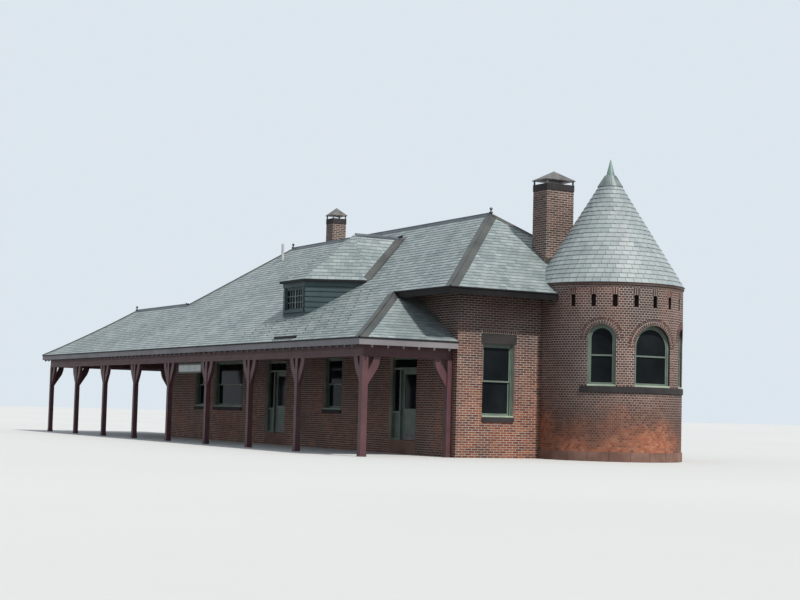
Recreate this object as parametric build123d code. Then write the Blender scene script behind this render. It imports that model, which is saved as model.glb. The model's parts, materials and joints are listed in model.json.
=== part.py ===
from build123d import *
from math import asin, atan, cos, degrees, pi, radians, sin, sqrt, tan
import os

# Railway station building, in millimetres, Z up.
# While it is drawn, X and Y start at the outer brick corner where the end wall meets the track wall.
# The end wall looks along +X, the track side looks along -Y. The finished pieces are moved so that
# the origin lies on the ground, below the middle of the whole outline.

# Brick body
body_length = 19700
body_width = 5790
wall_thickness = 330
floor_level = 400
floor_thickness = 150

# Roof: one cross section serves every slope. It is straight from the ridge down, then it kicks out
# in a long shallow curve to the low eave. The high eave cuts the same section further up.
roof_pitch = 36.2
eave_pitch = 29.5
kick_run = 3427
low_eave_height = 3240
high_eave_overhang = 762
roof_thickness = 200
porch_reach = 3160
porch_end_offset = 40

# Boards on the eaves' edges, below the lowest slates
fascia_thickness = 30
slate_lip = 15

# Porch timber
post_size = 160
corner_post_size = 180
post_inset = 350
end_bay = 4040
bay_count = 7
bay_length = 3425
beam_drop = 500
beam_width = 140
cross_beam_height = 260
brace_reach = 400
brace_height = 800
brace_thickness = 110
brace_gap = 190
brace_gap_height = 390
brace_bend_reach = 310
brace_bend_height = 470

# Shelter at the far end of the porch, with its own lower roof
shelter_half_span = 3060
shelter_back_posts = 2

# Small brick room below the shelter roof
annex_length = 1800
annex_depth = 2600

# Round corner tower
tower_radius = 2167
tower_axis_x = 325
tower_axis_from_back = 790
tower_wall = 400
tower_wall_top = 4980
tower_eave_overhang = 33
tower_eave_edge = 70
tower_roof_height = 3550
tower_roof_thickness = 200
tower_roof_flat_count = 72
tower_window_step_angle = 42
tower_joint_angles = (-60, -21, 21, 60, 105)
tower_window_width = 810
tower_wide_window_width = 1270
tower_sill_height = 2105
tower_crown_height = 3855
sill_band_height = 165
sill_band_projection = 35
sill_band_start_angle = -58
sill_band_end_angle = 100
tower_foot_height = 270
tower_foot_projection = 20

# Small blind slots below the tower's eave
slot_count = 14
slot_first_angle = -64.8
slot_step_angle = 16.2
slot_width = 140
slot_low = 4360
slot_high = 4700
slot_depth = 150

# Sheet metal cap of the tower, measured from the point where the slated cone would end
cap_seat_drop = 350
cap_skirt_drop = 550
cap_sheet = 22
cap_gap = 3
cap_skirt_top_drop = 215
cap_skirt_top_radius = 150
cap_spire_radius = 132
cap_peak_rise = 270
cap_tip_radius = 12
cap_flat_count = 36

# Square headed windows
window_width = 1080
window_head = 3240
window_sill = 1150
end_window_from_corner = 1385
wide_window_width = 2600
track_window_width = 1280
track_window_head = 2930
track_window_sill = 1250
lintel_height = 290
lintel_bearing = 60
lintel_depth = 110
sill_height = 120
sill_projection = 40
reveal = 110
frame_width = 65
frame_depth = 120
sash_width = 45
sash_depth = 35
glass_thickness = 8

# Positions along the track wall, from the near corner and from the left end
near_door_from_corner = 2230
window_from_corner = 7575
far_door_from_left = 8650
wide_window_from_left = 3750
last_window_from_left = 1150
far_wall_window_count = 5
left_window_from_back = 1500

# Doors
doorway_width = 1600
doorway_head = 2860
door_frame_width = 60
door_frame_depth = 110
door_reveal = 90
door_thickness = 45
door_gap = 7
door_foot_gap = 10
transom_bar = 60
door_height = 2080
door_width = 1000
panel_height = 850
panel_recess = 12
stile_width = 120
bottom_rail = 220
knuckle_radius = 10
knuckle_length = 90
knuckle_bore = 5.5
pin_radius = 5
hinge_offset = 12
hinge_leaf = 50
hinge_plate = 6
hinge_heights = (300, 1750)
pull_low = 900
pull_length = 320
pull_radius = 11
pull_reach = 55
pull_backset = 60

# Chimneys
chimney_width = 720
chimney_depth = 970
chimney_top = 8150
chimney_x = -1000
chimney_from_ridge = 990
rear_chimney_size = 550
rear_chimney_from_left = 4500
rear_chimney_from_ridge = 1005
rear_chimney_top = 8470
hood_gap = 110
hood_rise = 290
hood_edge = 35
hood_leg = 40
hood_plate = 25

# Vent pipe on the track slope
vent_pipe_radius = 50
vent_pipe_height = 625
vent_pipe_from_left = 3500
vent_pipe_from_ridge = 725

# Dormer on the track slope: its front is half of a long octagon, and its roof runs back into the slope.
# Its face height is measured from the slates up to its eaves.
dormer_x = -7190
dormer_front_y = -1770
dormer_front_half = 842
dormer_side_half = 1783
dormer_side_y = -138
dormer_apex_y = 467
dormer_face_height = 1138
dormer_roof_rise = 1638
dormer_roof_thickness = 170
dormer_overhang = 120
dormer_wall = 140
dormer_window_width = 1260
dormer_window_height = 710
dormer_frieze = 230
dormer_frame = 60
dormer_frame_setback = 30
dormer_frame_depth = 70
dormer_lining = 60

# Blank board below the porch beam
board_length = 2050
board_height = 320
board_thickness = 50
board_drop = 50
board_x = -12770
board_hanger = 30

# Small gap where a curved or slanting face seats on its neighbour
seat = 0.3

# How far a cutting body runs past the edge that it cuts
reach_past = 50


def block(x0, x1, y0, y1, z0, z1):
    """A straight block between two corners."""
    return Pos((x0 + x1) / 2, (y0 + y1) / 2, (z0 + z1) / 2) * Box(abs(x1 - x0), abs(y1 - y0), abs(z1 - z0))


def prism(points, z0, z1):
    """A plan outline, extruded upwards between two heights."""
    outline = make_face(Polyline(*points, close=True))
    return Pos(0, 0, z0) * extrude(outline, amount=z1 - z0)


def keep(shape):
    """The solids of a shape, as one compound or one solid."""
    solids = shape.solids()
    return solids[0] if len(solids) == 1 else Compound(children=list(solids))


def gather(shapes):
    """Separate solids that share a node."""
    return Compound(children=[solid for shape in shapes for solid in shape.solids()])


# The roof's cross section, as a height for each run inward from the low eave
kick_radius = kick_run / (sin(radians(roof_pitch)) - sin(radians(eave_pitch)))
half_span = body_width / 2 + porch_reach


def roof_height(run):
    """Height of the slate surface at a run inward from the low eave."""
    if run >= kick_run:
        return roof_height(kick_run * 0.999999) + (run - kick_run) * tan(radians(roof_pitch))
    angle = asin(sin(radians(eave_pitch)) + run / kick_radius)
    return low_eave_height + kick_radius * (cos(radians(eave_pitch)) - cos(angle))


ridge_height = roof_height(half_span)
high_eave_run = porch_reach - high_eave_overhang
high_eave_height = roof_height(high_eave_run)
wall_top = roof_height(porch_reach) - roof_thickness
ridge_y = body_width / 2
ridge_end_x = -body_width / 2
ridge_far_x = body_width / 2 - body_length
low_eave_y = -porch_reach
porch_end_x = porch_end_offset
high_eave_x = high_eave_overhang
post_row_y = low_eave_y + post_inset
corner_post_x = porch_end_x - post_inset
post_positions = [corner_post_x, corner_post_x - end_bay]
post_positions += [corner_post_x - end_bay - bay_length * (i + 1) for i in range(bay_count)]
shelter_eave_x = post_positions[-1] - post_inset
shelter_ridge_y = low_eave_y + shelter_half_span
shelter_back_y = shelter_ridge_y + shelter_half_span
shelter_ridge_height = roof_height(shelter_half_span)
back_post_y = shelter_back_y - post_inset
left_face_x = -body_length
left_eave_x = left_face_x - high_eave_overhang
sky = 12000
beam_underside = low_eave_height - beam_drop
tower_axis_y = body_width - tower_axis_from_back
chimney_y = ridge_y + chimney_from_ridge
rear_chimney_x = rear_chimney_from_left - body_length
rear_chimney_y = ridge_y + rear_chimney_from_ridge
vent_pipe_x = vent_pipe_from_left - body_length
vent_pipe_y = ridge_y - vent_pipe_from_ridge


def roof_section(drop, thickness, run):
    """Section face of a slope: x is the run inward from the low eave, y is the height."""
    low = Vector(0, low_eave_height - drop)
    mid = Vector(kick_run / 2, roof_height(kick_run / 2) - drop)
    kick = Vector(kick_run, roof_height(kick_run) - drop)
    top = Vector(run, roof_height(run) - drop)
    down = Vector(0, -thickness)
    upper = [ThreePointArc(low, mid, kick), Line(kick, top)]
    lower = [ThreePointArc(low + down, mid + down, kick + down), Line(kick + down, top + down)]
    ends = [Line(low, low + down), Line(top, top + down)]
    return make_face(upper + lower + ends)


def slope_body(origin, inward, drop=0, thickness=roof_thickness, run=half_span):
    """A slope of endless length. Its low eave runs through origin, and it climbs along inward."""
    plane = Plane(origin=origin, x_dir=inward, z_dir=Vector(*inward).cross(Vector(0, 0, 1)))
    return extrude(plane * roof_section(drop, thickness, run), amount=40000, both=True)


track_low = (0, low_eave_y, 0)
end_low = (high_eave_x + high_eave_run, 0, 0)
far_low = (0, body_width + porch_reach, 0)
left_low = (left_eave_x - high_eave_run, 0, 0)
porch_end_low = (porch_end_x, 0, 0)
shelter_end_low = (shelter_eave_x, 0, 0)
shelter_back_low = (0, shelter_back_y, 0)

toward_track = (0, 1, 0)
toward_end = (-1, 0, 0)
toward_far = (0, -1, 0)
toward_left = (1, 0, 0)


# Chimney stacks and the tower pass through the roof, so their outlines are cut from it
def stack_outline(x, y, width, depth, z0, z1, gap=0.0):
    return block(x - width / 2 - gap, x + width / 2 + gap, y - depth / 2 - gap, y + depth / 2 + gap, z0, z1)


near_stack_hole = stack_outline(chimney_x, chimney_y, chimney_width, chimney_depth, 0, sky, seat)
rear_stack_hole = stack_outline(rear_chimney_x, rear_chimney_y, rear_chimney_size, rear_chimney_size, 0, sky, seat)
tower_eave_radius = tower_radius + tower_eave_overhang
tower_apex = tower_wall_top + tower_eave_edge + tower_roof_height
tower_place = Pos(tower_axis_x, tower_axis_y, 0)


def tower_outline(gap):
    """Everything inside the tower's outer face and below its roof, grown by a gap."""
    shaft = Pos(0, 0, tower_wall_top / 2) * Cylinder(tower_radius + gap, tower_wall_top)
    eave_z = tower_wall_top - gap
    profile = Polyline(
        (0, eave_z),
        (tower_eave_radius + gap, eave_z),
        (tower_eave_radius + gap, tower_wall_top + tower_eave_edge + gap),
        (0, tower_apex + 2 * gap),
        close=True,
    )
    cap = revolve(Plane.XZ * make_face(profile), Axis.Z)
    return tower_place * (shaft + cap)


tower_hole = tower_outline(seat)


# Roof slopes, each cut to its plan outline
def main_slopes():
    """The four slopes above the brick body, from the ridge to the high eaves."""
    near_hip = (high_eave_x, -high_eave_overhang)
    back_hip = (high_eave_x, body_width + high_eave_overhang)
    left_back_hip = (left_eave_x, body_width + high_eave_overhang)
    ridge_near = (ridge_end_x, ridge_y)
    ridge_left = (ridge_far_x, ridge_y)
    hip_foot_x = ridge_far_x - (ridge_y - shelter_ridge_y)
    hip_foot = (hip_foot_x, shelter_ridge_y)
    valley_foot = (left_eave_x, shelter_back_y - high_eave_run)
    track_left = (hip_foot_x, -high_eave_overhang)
    track = slope_body(track_low, toward_track) & prism(
        [ridge_near, near_hip, track_left, hip_foot, ridge_left], 0, sky
    )
    end = slope_body(end_low, toward_end) & prism([ridge_near, back_hip, near_hip], 0, sky)
    far = slope_body(far_low, toward_far) & prism([ridge_near, ridge_left, left_back_hip, back_hip], 0, sky)
    left = slope_body(left_low, toward_left) & prism([ridge_left, hip_foot, valley_foot, left_back_hip], 0, sky)
    return track, end, far, left


def porch_slopes():
    """The porch roof below the high eave, and its hipped end against the track wall."""
    hip_top_x = porch_end_x - high_eave_run
    hip_top = (hip_top_x, -high_eave_overhang)
    corner = (porch_end_x, low_eave_y)
    shelter_joint_x = ridge_far_x - (ridge_y - shelter_ridge_y)
    track = slope_body(track_low, toward_track) & prism(
        [hip_top, corner, (shelter_joint_x, low_eave_y), (shelter_joint_x, -high_eave_overhang)], 0, sky
    )
    tuck = roof_thickness / tan(radians(eave_pitch))
    tuck_x = hip_top_x + tuck
    end = slope_body(porch_end_low, toward_end) & prism(
        [corner, hip_top, (tuck_x, -high_eave_overhang), (tuck_x, 0), (porch_end_x, 0)], 0, sky
    )
    return track, end


def shelter_slopes():
    """The lower roof over the open shelter: track slope, hipped end and back slope."""
    joint_x = ridge_far_x - (ridge_y - shelter_ridge_y)
    ridge_end = (shelter_eave_x + shelter_half_span, shelter_ridge_y)
    near_corner = (shelter_eave_x, low_eave_y)
    back_corner = (shelter_eave_x, shelter_back_y)
    track = slope_body(track_low, toward_track) & prism(
        [ridge_end, near_corner, (joint_x, low_eave_y), (joint_x, shelter_ridge_y)], 0, sky
    )
    end = slope_body(shelter_end_low, toward_left) & prism([ridge_end, back_corner, near_corner], 0, sky)
    tuck_y = shelter_back_y - high_eave_run + roof_thickness / tan(radians(eave_pitch))
    valley_foot = (left_eave_x, shelter_back_y - high_eave_run)
    back = slope_body(shelter_back_low, toward_far) & prism(
        [
            ridge_end,
            (joint_x, shelter_ridge_y),
            valley_foot,
            (left_eave_x, tuck_y),
            (left_face_x, tuck_y),
            (left_face_x, shelter_back_y),
            back_corner,
        ],
        0,
        sky,
    )
    return track, end, back


def split_board(plate, x0, x1, y0, y1, eave):
    """Split the board below one eave from a roof plate. The plan box holds the eave's outer edge."""
    space = block(x0, x1, y0, y1, eave - roof_thickness - reach_past, eave - slate_lip)
    return plate - space, plate & space


def split_eaves(plates, runs, eave):
    """Split the boards from a set of plates, name by name, into the plates and one group of boards."""
    boards = []
    for name, plate in plates.items():
        rest, board = split_board(plate, *runs[name], eave)
        nodes[name] = keep(rest)
        boards.append(board)
    return gather(boards)


dormer_face_y = dormer_front_y + dormer_overhang
dormer_eave_height = roof_height(dormer_face_y - low_eave_y) + dormer_face_height
dormer_window_head = dormer_eave_height - dormer_frieze
dormer_window_sill = dormer_window_head - dormer_window_height


def dormer_outline(inset):
    """Corner points of the dormer's eaves in plan, moved inwards by an inset."""
    side_run = dormer_side_half - dormer_front_half
    side_rise = dormer_side_y - dormer_front_y
    side_length = sqrt(side_run**2 + side_rise**2)
    front_shift = inset * (side_length - side_run) / side_rise
    side_shift = inset * (side_length - side_rise) / side_run
    front = (dormer_front_half - front_shift, dormer_front_y + inset)
    side = (dormer_side_half - inset, dormer_side_y + side_shift)
    back = (dormer_side_half - inset, dormer_apex_y)
    right = [(dormer_x + x, y) for x, y in (front, side, back)]
    left = [(dormer_x - x, y) for x, y in (back, side, front)]
    return right + left


def dormer_roof_body(drop):
    """The dormer's roof down to its eaves, as a full body, lowered by a drop."""
    base = dormer_eave_height - drop
    peak = base + dormer_roof_rise
    rim = Pos(0, 0, base) * make_face(Polyline(*dormer_outline(0), close=True))
    front = loft([rim.face(), Vertex(dormer_x, dormer_apex_y, peak)])
    gable = Polyline(
        (dormer_x - dormer_side_half, base), (dormer_x + dormer_side_half, base), (dormer_x, peak), close=True
    )
    plane = Plane(origin=(0, dormer_apex_y, 0), x_dir=(1, 0, 0), z_dir=(0, -1, 0))
    return front + extrude(plane * make_face(gable), amount=dormer_apex_y - ridge_y)


def under_slope(origin, inward, lift):
    """All the space below a slope's slate surface, raised by a lift."""
    return slope_body(origin, inward, drop=-lift, thickness=sky, run=half_span)


def over_slope(origin, inward):
    """All the space above the underside of a slope, less a seat."""
    return slope_body(origin, inward, drop=roof_thickness + seat - sky, thickness=sky, run=half_span)


def dormer():
    """Roof, front and cheeks of the dormer, seated on the track slope."""
    below = under_slope(track_low, toward_track, seat)
    wide = 2 * dormer_side_half
    roof = dormer_roof_body(0) - dormer_roof_body(dormer_roof_thickness)
    roof = roof & block(dormer_x - wide, dormer_x + wide, -porch_reach, ridge_y, dormer_eave_height, sky)
    roof = roof - below
    ring = prism(dormer_outline(dormer_overhang), low_eave_height, dormer_eave_height)
    ring -= prism(dormer_outline(dormer_overhang + dormer_wall), low_eave_height, dormer_eave_height)
    ring = ring & block(dormer_x - wide, dormer_x + wide, -porch_reach, 0, 0, sky)
    ring = ring - below
    window = block(
        dormer_x - dormer_window_width / 2, dormer_x + dormer_window_width / 2, dormer_front_y,
        dormer_face_y + dormer_wall + reach_past, dormer_window_sill, dormer_window_head,
    )
    front_zone = block(dormer_x - wide, dormer_x + wide, dormer_front_y, dormer_face_y + dormer_wall, 0, sky)
    return roof, (ring & front_zone) - window, ring - front_zone


def dormer_hole():
    """Opening in the slopes inside the dormer's walls."""
    hole = prism(dormer_outline(dormer_overhang + dormer_wall + dormer_lining), 0, sky)
    return hole & block(dormer_x - dormer_side_half, dormer_x + dormer_side_half, dormer_front_y, 0, 0, sky)


def framed_window(width, sill, head):
    """A sash window in its own place: x across, y inward from the wall's outer face.
    The upper sash stands in the outer half of the frame and the lower sash in the inner half."""
    half = width / 2
    clear = half - frame_width
    low = sill + frame_width
    high = head - frame_width
    middle = (low + high) / 2
    y0 = reveal
    y1 = reveal + frame_depth
    y_mid = (y0 + y1) / 2
    frame = block(-half, half, y0, y1, sill, head)
    frame -= block(-clear, clear, y0, y1, low, high)
    window_panes = []
    for z0, z1, y in ((middle - sash_width, high, y_mid - sash_depth), (low, middle, y_mid)):
        sash = block(-clear, clear, y, y + sash_depth, z0, z1)
        light = (-clear + sash_width, clear - sash_width, z0 + sash_width, z1 - sash_width)
        frame += sash - block(light[0], light[1], y, y + sash_depth, light[2], light[3])
        pane_y = y + (sash_depth - glass_thickness) / 2
        window_panes.append(block(light[0], light[1], pane_y, pane_y + glass_thickness, light[2], light[3]))
    return frame, window_panes


def stone_lintel(width, head):
    """Stone lintel flush with the wall's outer face, resting on the brick at both ends."""
    half = width / 2 + lintel_bearing
    return block(-half, half, 0, lintel_depth, head, head + lintel_height)


def stone_sill(width, sill):
    """Projecting stone sill, as wide as the opening, below the frame."""
    return block(-width / 2, width / 2, -sill_projection, wall_thickness, sill - sill_height, sill)


def arch_face(width, sill, crown):
    """Outline of a round headed window: x across, y up."""
    half = width / 2
    spring = crown - half
    edges = [
        Line((-half, sill), (half, sill)),
        Line((half, sill), (half, spring)),
        ThreePointArc((half, spring), (0, crown), (-half, spring)),
        Line((-half, spring), (-half, sill)),
    ]
    return make_face(edges)


def arch_body(width, sill, crown, near, far):
    """Round headed outline, extruded along +X from near to far."""
    plane = Plane(origin=(near, 0, 0), x_dir=(0, 1, 0), z_dir=(1, 0, 0))
    return extrude(plane * arch_face(width, sill, crown), amount=far - near)


def tower_window(width):
    """Opening, frame and glass of one round headed window that looks along +X."""
    edge = sqrt(tower_radius**2 - (width / 2) ** 2)
    outer = edge - reveal / 2
    inner = outer - frame_depth
    opening = arch_body(width, tower_sill_height, tower_crown_height, 0, 2 * tower_radius)
    frame = arch_body(width, tower_sill_height, tower_crown_height, inner, outer)
    clear_width = width - 2 * frame_width
    low = tower_sill_height + frame_width
    high = tower_crown_height - frame_width
    frame -= arch_body(clear_width, low, high, inner, outer)
    middle = (low + high) / 2
    sash_front = outer - sash_depth / 2
    sash_back = sash_front - 2 * sash_depth
    rim = arch_body(clear_width, low, high, sash_back, sash_front)
    rim -= arch_body(clear_width - 2 * sash_width, low + sash_width, high - sash_width, sash_back, sash_front)
    rail = block(
        sash_back, sash_front, -clear_width / 2, clear_width / 2, middle - sash_width / 2, middle + sash_width / 2
    )
    pane_back = sash_front - sash_depth
    pane = arch_body(
        clear_width - 2 * sash_width, low + sash_width, high - sash_width, pane_back, pane_back + glass_thickness
    )
    return opening, frame + rim + rail, pane - rail


def wedge(start, end, radius):
    """Plan wedge between two angles, for cutting the round wall into segments."""
    steps = 6
    points = [(0, 0)]
    for i in range(steps + 1):
        angle = radians(start + (end - start) * i / steps)
        points.append((radius * cos(angle), radius * sin(angle)))
    return prism(points, 0, sky)


nodes = {}

# Main, porch and shelter roof slopes, and the boards cut from their edges
track_slope, end_slope, far_slope, left_slope = main_slopes()
main_plates = {
    "main_track_slope": track_slope - dormer_hole(),
    "main_end_slope": end_slope - tower_hole - near_stack_hole,
    "main_far_slope": far_slope - tower_hole - rear_stack_hole - near_stack_hole,
    "main_left_slope": left_slope,
}
porch_track, porch_end = porch_slopes()
shelter_track, shelter_end, shelter_back = shelter_slopes()
low_plates = {
    "porch_track_slope": porch_track - dormer_hole(),
    "porch_end_slope": porch_end,
    "shelter_track_slope": shelter_track,
    "shelter_end_slope": shelter_end,
    "shelter_back_slope": shelter_back,
}
near_y = -high_eave_overhang
back_y = body_width + high_eave_overhang
past_left = shelter_eave_x - reach_past
past_right = high_eave_x + reach_past
past_front = low_eave_y - reach_past
past_back = back_y + reach_past
high_runs = {
    "main_track_slope": (porch_end_x - high_eave_run, past_right, near_y - reach_past, near_y + fascia_thickness),
    "main_end_slope": (high_eave_x - fascia_thickness, past_right, near_y - reach_past, past_back),
    "main_far_slope": (past_left, past_right, back_y - fascia_thickness, past_back),
    "main_left_slope": (past_left, left_eave_x + fascia_thickness, shelter_back_y - high_eave_run, past_back),
}
low_runs = {
    "porch_track_slope": (past_left, past_right, past_front, low_eave_y + fascia_thickness),
    "porch_end_slope": (porch_end_x - fascia_thickness, past_right, past_front, reach_past),
    "shelter_track_slope": (past_left, past_right, past_front, low_eave_y + fascia_thickness),
    "shelter_end_slope": (past_left, shelter_eave_x + fascia_thickness, past_front, past_back),
    "shelter_back_slope": (past_left, past_right, shelter_back_y - fascia_thickness, past_back),
}
nodes["upper_fascia"] = split_eaves(main_plates, high_runs, high_eave_height)
nodes["porch_fascia"] = split_eaves(low_plates, low_runs, low_eave_height)

# Dormer
dormer_roof, dormer_front, dormer_cheeks = dormer()
nodes["dormer_roof"] = keep(dormer_roof)
nodes["dormer_front"] = keep(dormer_front)
nodes["dormer_cheeks"] = keep(dormer_cheeks)

# Windows, lintels and sills of the straight walls, and the holes that they need
window_frames = []
panes = []
lintels = []
sills = []


def place_window(place, width, sill, head, lintel=True):
    """Put a window into a wall, and return the hole that the wall needs for it."""
    frame, window_panes = framed_window(width, sill, head)
    window_frames.append(place * frame)
    panes.extend(place * pane for pane in window_panes)
    sill_block = place * stone_sill(width, sill)
    sills.append(sill_block)
    hole = place * block(-width / 2, width / 2, -1, wall_thickness + 1, sill, head)
    hole += place * block(-width / 2, width / 2, -1, wall_thickness + 1, sill - sill_height, sill)
    if lintel:
        stone = place * stone_lintel(width, head)
        lintels.append(stone)
        hole += stone
    return hole


def on_track_wall(distance):
    return Pos(-distance, 0, 0)


def on_far_wall(distance):
    return Pos(-distance, body_width, 0) * Rot(0, 0, 180)


def on_end_wall(distance):
    return Pos(0, distance, 0) * Rot(0, 0, 90)


def on_left_wall(distance):
    return Pos(left_face_x, distance, 0) * Rot(0, 0, -90)


# End wall, up to the tower
end_wall = block(-wall_thickness, 0, 0, tower_axis_y, 0, wall_top)
end_wall -= place_window(on_end_wall(end_window_from_corner), window_width, window_sill, window_head)
end_wall -= tower_hole
nodes["end_wall"] = keep(end_wall)

# Track wall, split beside and over the two doorways
door_starts = [near_door_from_corner, body_length - far_door_from_left]
piers = [
    (wall_thickness, door_starts[0]),
    (door_starts[0] + doorway_width, door_starts[1]),
    (door_starts[1] + doorway_width, body_length),
]
track_walls = [block(-end, -start, 0, wall_thickness, 0, wall_top) for start, end in piers]
for index, distance, width in (
    (1, window_from_corner, track_window_width),
    (2, body_length - wide_window_from_left, wide_window_width),
    (2, body_length - last_window_from_left, window_width),
):
    track_walls[index] -= place_window(on_track_wall(distance), width, track_window_sill, track_window_head)
for index, wall in enumerate(track_walls):
    nodes[f"track_wall_{index + 1}"] = keep(wall)
nodes["track_wall_over_doors"] = gather(
    [block(-start - doorway_width, -start, 0, wall_thickness, doorway_head, wall_top) for start in door_starts]
)
nodes["door_thresholds"] = gather(
    [block(-start - doorway_width, -start, 0, wall_thickness, 0, floor_level) for start in door_starts]
)

# Far wall and left wall
far_wall = block(-body_length, 0, body_width - wall_thickness, body_width, 0, wall_top)
far_pitch = body_length / (far_wall_window_count + 1)
for index in range(far_wall_window_count):
    far_wall -= place_window(on_far_wall(far_pitch * (index + 1.2)), window_width, window_sill, window_head)
far_wall -= tower_hole
nodes["far_wall"] = keep(far_wall)
left_wall = block(
    left_face_x, left_face_x + wall_thickness, wall_thickness, body_width - wall_thickness, 0, wall_top
)
left_wall -= place_window(on_left_wall(body_width - left_window_from_back), window_width, window_sill, window_head)
nodes["left_wall"] = keep(left_wall)

# Small brick room below the shelter roof
annex_x = left_face_x - annex_length
below_back = under_slope(shelter_back_low, toward_far, -roof_thickness)
annex_front = block(annex_x, left_face_x, 0, wall_thickness, 0, sky) & below_back
annex_rear = block(annex_x, left_face_x, annex_depth - wall_thickness, annex_depth, 0, sky) & below_back
annex_end = block(annex_x, annex_x + wall_thickness, wall_thickness, annex_depth - wall_thickness, 0, sky)
annex_end = annex_end & below_back
main_eave = over_slope(left_low, toward_left) & block(left_eave_x, 0, 0, body_width, 0, sky)
nodes["annex_side_walls"] = gather([annex_front - main_eave, annex_rear - main_eave])
nodes["annex_end_wall"] = keep(annex_end)

# Round tower: blank walls beside the brick body, and one segment for each window, halved at its middle
body_corner = block(-body_length - tower_axis_x, -tower_axis_x, -tower_axis_y, body_width - tower_axis_y, 0, sky)


def tower_ring(inner, outer, low, high):
    """A round wall about the tower's axis, open where the brick body joins it."""
    height = high - low
    return Pos(0, 0, low + height / 2) * (Cylinder(outer, height) - Cylinder(inner, height)) - body_corner


stone_back = tower_radius - tower_wall / 2
band_low = tower_sill_height - sill_band_height
band = tower_ring(stone_back, tower_radius + sill_band_projection, band_low, tower_sill_height)
band = band & wedge(sill_band_start_angle, sill_band_end_angle, 2 * tower_radius)
foot = tower_ring(stone_back, tower_radius + tower_foot_projection, 0, tower_foot_height)
ring = tower_ring(tower_radius - tower_wall, tower_radius, 0, tower_wall_top) - band - foot
slot = block(
    tower_radius - slot_depth, tower_radius + slot_depth, -slot_width / 2, slot_width / 2, slot_low, slot_high
)
for index in range(slot_count):
    ring -= Rot(0, 0, slot_first_angle + slot_step_angle * index) * slot
tower_windows = []
for index in range(len(tower_joint_angles) - 1):
    angle = tower_window_step_angle * (index - 1)
    opening, frame, pane = tower_window(tower_wide_window_width if angle == 0 else tower_window_width)
    turn = Rot(0, 0, angle)
    start, end = tower_joint_angles[index : index + 2]
    halves = [ring & wedge(start, angle, 2 * tower_radius), ring & wedge(angle, end, 2 * tower_radius)]
    nodes[f"tower_wall_{index + 1}"] = gather([tower_place * (half - turn * opening) for half in halves])
    tower_windows.append(tower_place * turn * frame)
    panes.append(tower_place * turn * pane)
    ring -= wedge(start, end, 2 * tower_radius)
nodes["tower_blank_walls"] = keep(tower_place * ring)
nodes["tower_sill_band"] = keep(tower_place * band)
nodes["tower_foot"] = keep(tower_place * foot)

# Tower roof: a slated cone, hollow inside, cut off flat where the cap sits on it.
# Slates lie flat, so the cone is a pyramid of many narrow flats.
def spire(flats, foot, foot_radius, top, top_radius):
    """A frustum of a many sided pyramid on the tower's axis. Both radii are out to its corners."""
    lean = atan((foot_radius - top_radius) * cos(pi / flats) / (top - foot))
    return Pos(0, 0, foot) * extrude(RegularPolygon(foot_radius, flats), amount=top - foot, taper=degrees(lean))


roof_slope = tower_roof_height / tower_eave_radius
inner_drop = tower_roof_thickness * sqrt(1 + roof_slope**2)
eave_top = tower_wall_top + tower_eave_edge
inner_foot = (tower_apex - inner_drop - tower_wall_top) / roof_slope
seat_radius = cap_seat_drop / roof_slope
cap_seat_height = tower_apex - cap_seat_drop
inner_top = cap_seat_height - inner_drop
cone = spire(tower_roof_flat_count, eave_top, tower_eave_radius, cap_seat_height, seat_radius)
cone += spire(tower_roof_flat_count, tower_wall_top, tower_eave_radius, eave_top, tower_eave_radius)
cone -= spire(tower_roof_flat_count, tower_wall_top, inner_foot, inner_top, seat_radius)
nodes["tower_roof"] = keep(tower_place * cone - near_stack_hole)

# Sheet metal cap: a skirt over the topmost slates, and a slim spire
skirt_gap_radius = cap_skirt_drop / roof_slope + cap_gap
cap_skirt_foot = tower_apex - cap_skirt_drop
cap_skirt_top = tower_apex - cap_skirt_top_drop
cap_peak = tower_apex + cap_peak_rise
cap = spire(cap_flat_count, cap_skirt_foot, skirt_gap_radius + cap_sheet, cap_skirt_top, cap_skirt_top_radius)
cap += spire(cap_flat_count, cap_skirt_top, cap_spire_radius, cap_peak, cap_tip_radius)
cap -= spire(cap_flat_count, cap_skirt_foot, skirt_gap_radius, cap_seat_height, seat_radius + cap_gap)
nodes["tower_cap"] = keep(tower_place * cap)

# Chimneys with open hoods
def chimney(x, y, width, depth, top):
    """A brick stack from the floor to the top, and a metal hood on four corner legs."""
    stack = stack_outline(x, y, width, depth, floor_level, top)
    eave = top + hood_gap
    legs = []
    for sx in (-1, 1):
        for sy in (-1, 1):
            cx = x + sx * (width / 2 - hood_leg / 2)
            cy = y + sy * (depth / 2 - hood_leg / 2)
            legs.append(block(cx - hood_leg / 2, cx + hood_leg / 2, cy - hood_leg / 2, cy + hood_leg / 2, top, eave))
    plate = stack_outline(x, y, width + 2 * hood_edge, depth + 2 * hood_edge, eave, eave + hood_plate)
    rim = Pos(x, y, eave + hood_plate) * Rectangle(width + 2 * hood_edge, depth + 2 * hood_edge)
    cap = loft([rim.face(), Vertex(x, y, eave + hood_plate + hood_rise)])
    hood = plate + cap
    for leg in legs:
        hood += leg
    return stack, hood


near_stack, near_hood = chimney(chimney_x, chimney_y, chimney_width, chimney_depth, chimney_top)
rear_stack, rear_hood = chimney(
    rear_chimney_x, rear_chimney_y, rear_chimney_size, rear_chimney_size, rear_chimney_top
)
nodes["tower_chimney"] = keep(near_stack)
nodes["tower_chimney_hood"] = keep(near_hood)
nodes["rear_chimney"] = keep(rear_stack)
nodes["rear_chimney_hood"] = keep(rear_hood)

# Vent pipe, standing on the slates
pipe_run = vent_pipe_y - low_eave_y
pipe_top = roof_height(pipe_run) + vent_pipe_height
pipe = Pos(vent_pipe_x, vent_pipe_y, pipe_top / 2) * Cylinder(vent_pipe_radius, pipe_top)
nodes["vent_pipe"] = keep(pipe - under_slope(track_low, toward_track, seat))

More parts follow.
